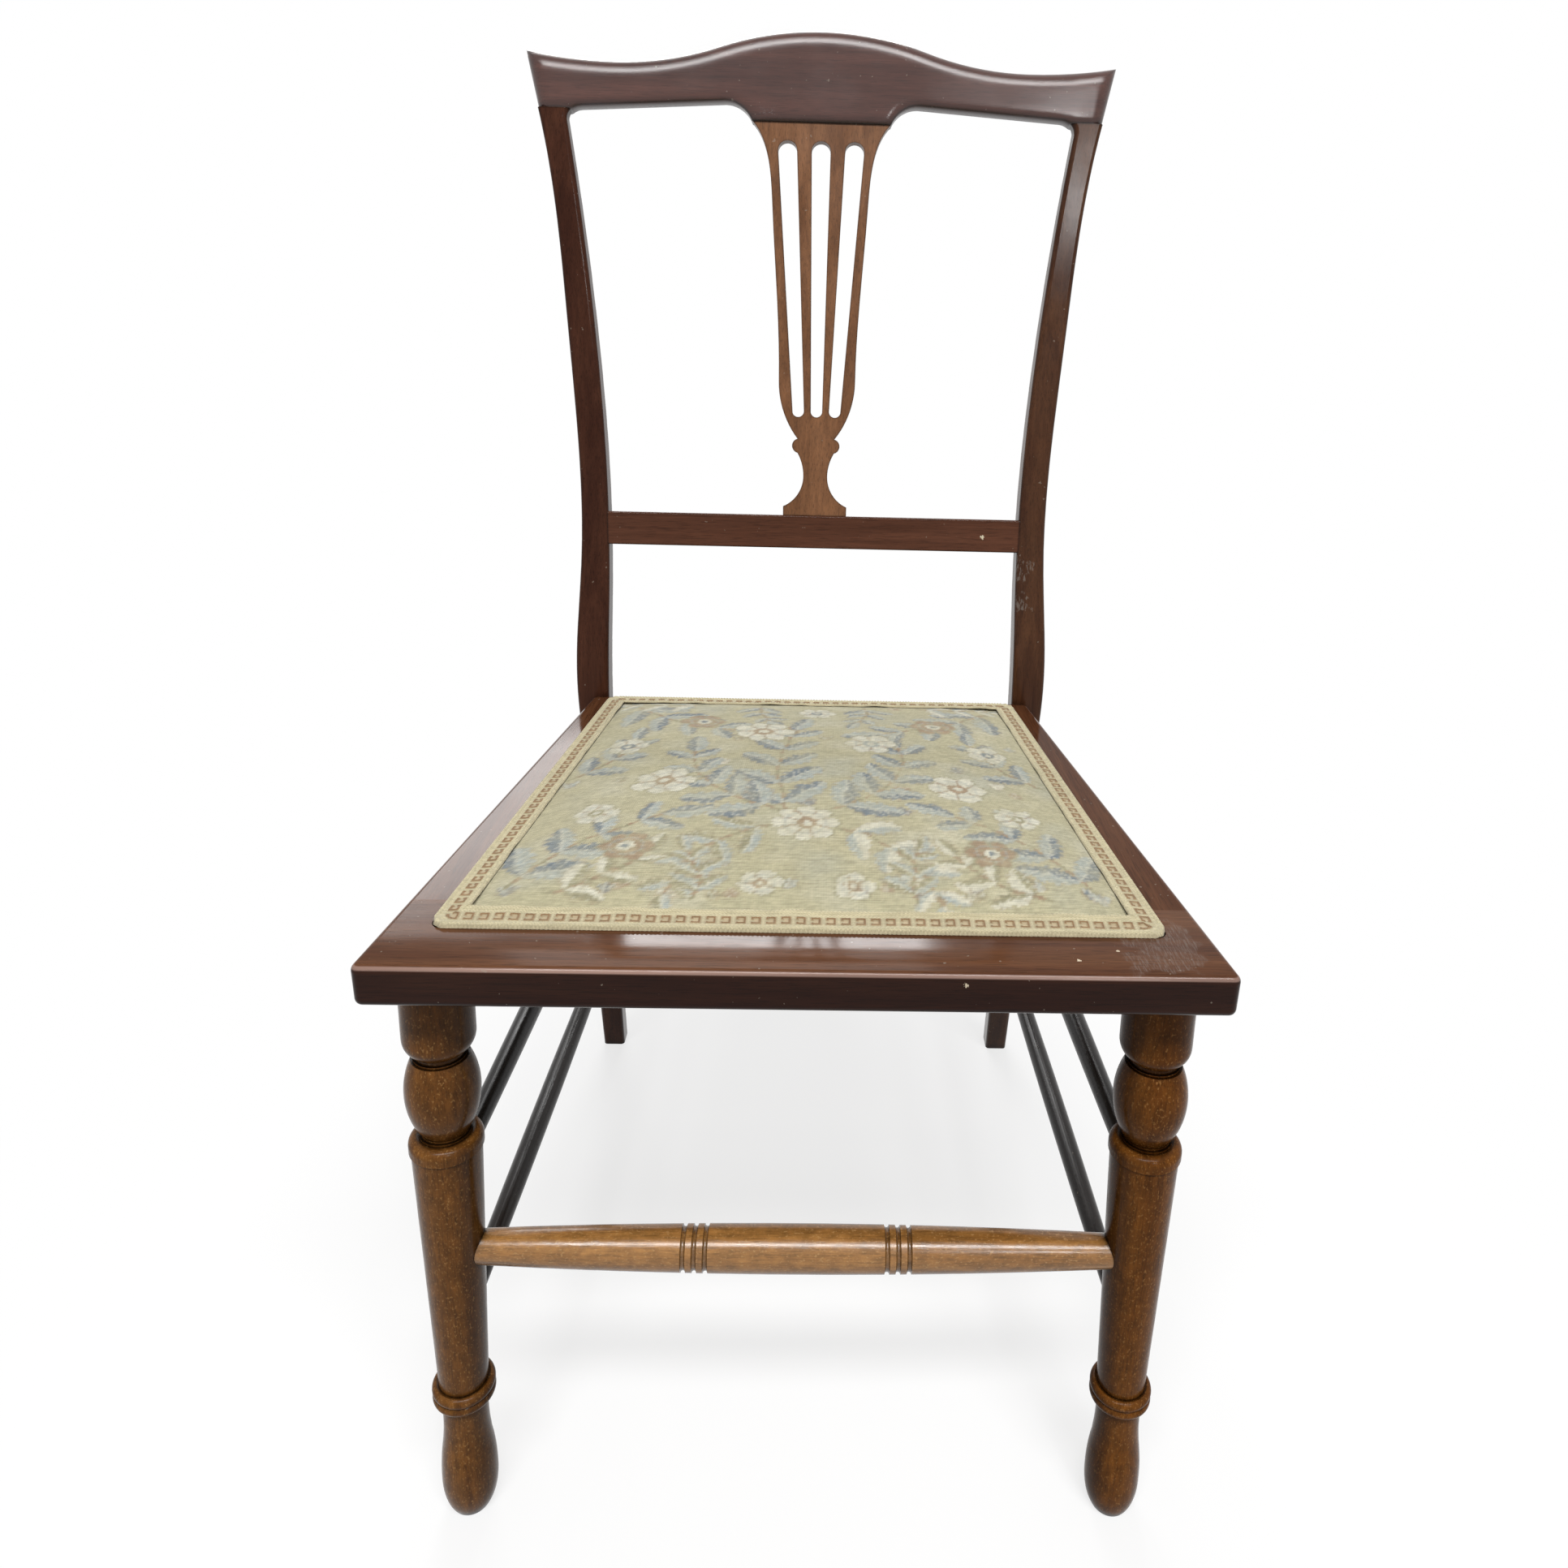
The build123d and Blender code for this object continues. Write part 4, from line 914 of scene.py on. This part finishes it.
def braid_section(run, across):
    """Height and colour of the braid at a run along it and a distance from its outer edge, in mm."""
    width = gimp_width / mm
    pitch = gimp_pitch / mm
    height = np.full(run.shape, ground_height)
    colour = np.tile(np.array(braid_ground), (*run.shape, 1))

    def paint(mask, tone):
        colour[...] += mask[..., None] * (np.array(tone) - colour)

    def cord(middle, half, top, twist):
        inside = np.clip(1 - ((across - middle) / half) ** 2, 0, 1)
        turns = run / cord_twist + twist * (across - middle) / (2 * half)
        rope = 0.5 + 0.5 * np.cos(2 * math.pi * turns)
        np.maximum(height, np.sqrt(inside) * top * (0.72 + 0.28 * rope), out=height)
        paint(np.clip(inside * 3, 0, 1) * (0.70 + 0.30 * rope), cream)

    cord(middle=1.25, half=1.3, top=1.75, twist=0.8)
    cord(middle=3.05, half=0.7, top=1.25, twist=-0.8)
    cord(middle=width - 1.25, half=1.3, top=1.75, twist=-0.8)
    cord(middle=width - 3.25, half=0.85, top=1.30, twist=0.8)
    local = np.mod(run, pitch) - pitch / 2
    offset = across - key_middle
    square = np.maximum(np.abs(local), np.abs(offset) * key_squash)
    ring = ramp(key_half - square, key_edge) * ramp(square - key_hole, key_edge)
    gate = ramp(np.abs(offset + 0.2) - 0.45, thread_edge)
    ring *= np.where(local < -0.4, gate, 1.0)
    stitch = 0.82 + 0.18 * np.cos(2 * math.pi * (local + offset) / stitch_run)
    paint(ramp(key_hole + 0.1 - square, thread_edge) * 0.7, braid_pale)
    paint(ring * stitch, braid_russet)
    np.maximum(height, ring * key_height * (0.85 + 0.15 * stitch), out=height)
    bar = ramp(np.abs(local) - bar_start, thread_edge) * ramp(bar_half - np.abs(offset), thread_edge)
    paint(bar * 0.75, cream)
    np.maximum(height, bar * bar_height, out=height)
    along_thread = np.cos(2 * math.pi * run / thread_run)
    threads = 0.9 + 0.1 * along_thread * np.cos(2 * math.pi * across / thread_width)
    return height, colour * threads[..., None]


def make_braid():
    """Gimp braid: roped edges and a row of small square keys, laid round the cover."""
    across = np.linspace(0, 1, braid_rows) * gimp_width
    lines = np.stack([braid_line(inset) for inset in across], axis=1)
    middle = lines[:, braid_rows // 2]
    steps = np.linalg.norm(np.roll(middle, -1, axis=0) - middle, axis=1)
    length = steps.sum()
    keys = round(length / gimp_pitch)
    run = np.concatenate([[0], np.cumsum(steps)[:-1]]) * (keys * gimp_pitch / length) / mm
    height, colour = braid_section(*np.meshgrid(run, across / mm, indexing="ij"))
    share = across / gimp_width
    lift = braid_lift * ramp(share - 0.35, 0.65) ** 1.5
    wave = sum(top * mm * np.sin(run * 2 * math.pi / repeat + phase) for top, repeat, phase in braid_waves)
    base = cover_edge_z + lift + np.outer(np.maximum(wave, 0), share)
    z = base + height * mm
    z[:, 0] = cover_edge_z - braid_tuck
    z[:, -1] = base[:, -1] + 0.2 * mm
    outward = lines[:, 0] - lines[:, scallop_rows - 1]
    outward /= np.linalg.norm(outward, axis=1, keepdims=True)
    wobble = scallop * np.cos(2 * math.pi * run / cord_twist)
    lines[:, :scallop_rows] += (outward * wobble[:, None])[:, None, :]
    points = np.concatenate([lines, z[..., None]], axis=-1).reshape(-1, 3)
    braid = make_object("gimp_trim", points, grid_faces(len(run), braid_rows, closed=True)[:, ::-1])
    set_shade(braid, colour.reshape(-1, 3))
    braid.data.materials.append(painted_cloth("gimp", pitch=0.55 * mm, relief=0.08 * mm, sheen=0.2))
    finish_piece(braid, "gimp", "gimp_braid")
    return braid


# Cloth and webbing under the pad

hessian_inset = 2 * mm
hessian_lift = 0.4 * mm
hessian_sag = 0.15 * mm
hessian_sag_run = 60 * mm

web_width = 46 * mm
web_pitch = 62 * mm
web_count = 3
web_thickness = 0.85 * mm
web_weave = 0.48 * mm          # rise and fall where strips cross
web_weave_reach = 27 * mm
web_edge_drop = 0.06 * mm
web_end_gap = 4 * mm
web_steps = 110
web_sides = 13


def make_hessian():
    """Coarse cloth over the webbing."""
    points, rows, columns = cover_grid(hessian_inset)
    sag = hessian_sag * ramp(edge_distance(points), hessian_sag_run)
    points[:, 2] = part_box("hessian_base")[0].z + hessian_lift - sag
    cloth = make_object("hessian_cloth", points, grid_faces(rows, columns))
    cloth.data.materials.append(
        woven_cloth("hessian", (0.46, 0.35, 0.21), (0.56, 0.44, 0.27), 2.2 * mm, 0.3 * mm, 0.45))
    finish_piece(cloth, "hessian", "hessian_base")


def make_strip(name, middle, low, high, lengthwise, crossings, phase, material):
    """One webbing strip that passes over and under the strips it crosses."""
    run = np.linspace(low, high, web_steps)
    along, side = np.meshgrid(run, np.linspace(-1, 1, web_sides), indexing="ij")
    bend = np.zeros_like(along)
    for number, crossing in enumerate(crossings):
        sign = 1 if (number + phase) % 2 else -1
        bend += sign * np.exp(-((along - crossing) / web_weave_reach) ** 6)
    level = (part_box("lengthwise_webbing")[0].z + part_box("crosswise_webbing")[1].z) / 2
    z = level + web_weave * bend - web_edge_drop * side ** 4
    across = middle + side * web_width / 2
    plan = (across, along) if lengthwise else (along, across)
    points = np.stack([*plan, z], axis=-1).reshape(-1, 3)
    faces = grid_faces(web_steps, web_sides)
    made = make_object(name, points, faces if lengthwise else faces[:, ::-1])
    thick = made.modifiers.new("thickness", "SOLIDIFY")
    thick.thickness = web_thickness
    thick.offset = 0
    applied(made)
    made.data.materials.append(material)
    finish_piece(made, "webbing", "lengthwise_webbing" if lengthwise else "crosswise_webbing")


def make_webbing():
    """Three strips each way, woven through each other."""
    material = woven_cloth("webbing", (0.40, 0.30, 0.18), (0.50, 0.39, 0.24), 1.5 * mm, 0.25 * mm)
    low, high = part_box("lengthwise_webbing")
    cross_low, cross_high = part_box("crosswise_webbing")
    middle_y = (cross_low.y + cross_high.y) / 2
    places = [(number - (web_count - 1) / 2) * web_pitch for number in range(web_count)]
    crossings = [middle_y + place for place in places]
    for number, (x, y) in enumerate(zip(places, crossings)):
        name = f"webbing_lengthwise_{number + 1}"
        make_strip(name, x, low.y, high.y, True, crossings, number, material)
        reach = half_width(y + web_width / 2, web_end_gap)
        name = f"webbing_crosswise_{number + 1}"
        make_strip(name, y, -reach, reach, False, places, number + 1, material)


# Light, floor and background

world_light = 0.24
floor_half = 6.0
floor_drop = 0.2 * mm
floor_tone = (0.92, 0.92, 0.92, 1)
floor_bounce = (0.35, 0.35, 0.35, 1)   # tone that lights the object from below
shadow_core = 0.18             # from the middle, where the floor keeps most of its shadow
shadow_end = 0.55
shadow_white = 0.68            # share of plain white over the shadow's core

# Lamps: name, place, target, width and height, watts.
# Back, left and right give the sheen on the front rail, the left rail and the right stile.
lamps = [
    ("key", (0.1, -1.25, 2.2), (0, 0, 0.4), (1.8, 0.36), 49),
    ("back", (-0.12, 2.1, 1.80), (0, -0.1, 0.3), (0.9, 0.26), 14.0),
    ("left", (-0.85, 2.2, 1.45), (0, 0, 0.3), (0.8, 0.5), 6.0),
    ("fill", (-0.25, 1.7, 2.5), (0, 0, 0.45), (1.2, 1.0), 11),
    ("right", (0.72, -2.1, 1.66), (0.1, 0.16, 0.62), (0.3, 0.25), 7.0),
]


def add_lamp(name, place, target, size, power):
    lamp = bpy.data.lights.new(name, "AREA")
    lamp.shape = "RECTANGLE"
    lamp.size, lamp.size_y = size
    lamp.energy = power
    made = bpy.data.objects.new(name, lamp)
    scene.collection.objects.link(made)
    made.location = place
    made.rotation_euler = (Vector(target) - Vector(place)).to_track_quat("-Z", "Y").to_euler()


def make_world():
    """White where it is seen, a plain soft light otherwise."""
    world = bpy.data.worlds.new("studio")
    scene.world = world
    world.use_nodes = True
    graph = Graph(world.node_tree)
    light = graph.tree.nodes["Background"]
    light.inputs["Color"].default_value = (1.0, 0.99, 0.97, 1)
    light.inputs["Strength"].default_value = world_light
    white = graph.node("ShaderNodeBackground", {"Color": (1, 1, 1, 1), "Strength": 1.0})
    surface = graph.either(graph.seen_directly(), light.outputs[0], white.outputs[0])
    graph.feed(graph.tree.nodes["World Output"].inputs["Surface"], surface)


def make_floor():
    """White floor that keeps a soft shadow near the chair and can be looked through from below."""
    signs = ((-1, -1), (1, -1), (1, 1), (-1, 1))
    corners = [(x * floor_half, y * floor_half, -floor_drop) for x, y in signs]
    floor = make_object("floor", corners, [(0, 1, 2, 3)], smooth=False)
    material = bpy.data.materials.new("floor")
    material.use_nodes = True
    graph = Graph(material.node_tree)
    graph.tree.nodes.remove(graph.tree.nodes["Principled BSDF"])
    bounced = graph.node("ShaderNodeLightPath", {}).outputs["Is Diffuse Ray"]
    matt = graph.node("ShaderNodeBsdfDiffuse", {"Color": graph.mix(bounced, floor_tone, floor_bounce)})
    white = graph.node("ShaderNodeEmission", {"Strength": 1.0})
    far = graph.vectors("LENGTH", graph.here())["Value"]
    fade = graph.span(far, shadow_core, shadow_end, shadow_white, 1.0)
    share = graph.product(fade, graph.seen_directly())
    top = graph.either(share, matt.outputs[0], white.outputs[0])
    below = graph.node("ShaderNodeNewGeometry", {}).outputs["Backfacing"]
    clear = graph.node("ShaderNodeBsdfTransparent", {})
    surface = graph.either(below, top, clear.outputs[0])
    graph.feed(graph.tree.nodes["Material Output"].inputs["Surface"], surface)
    floor.data.materials.append(material)


make_camera()
make_world()
make_floor()
for lamp in lamps:
    add_lamp(*lamp)

dress_wood()
dress_tacks()
cover, cover_points = make_cover()
make_pad(cover_points)
braid = make_braid()
make_hessian()
make_webbing()
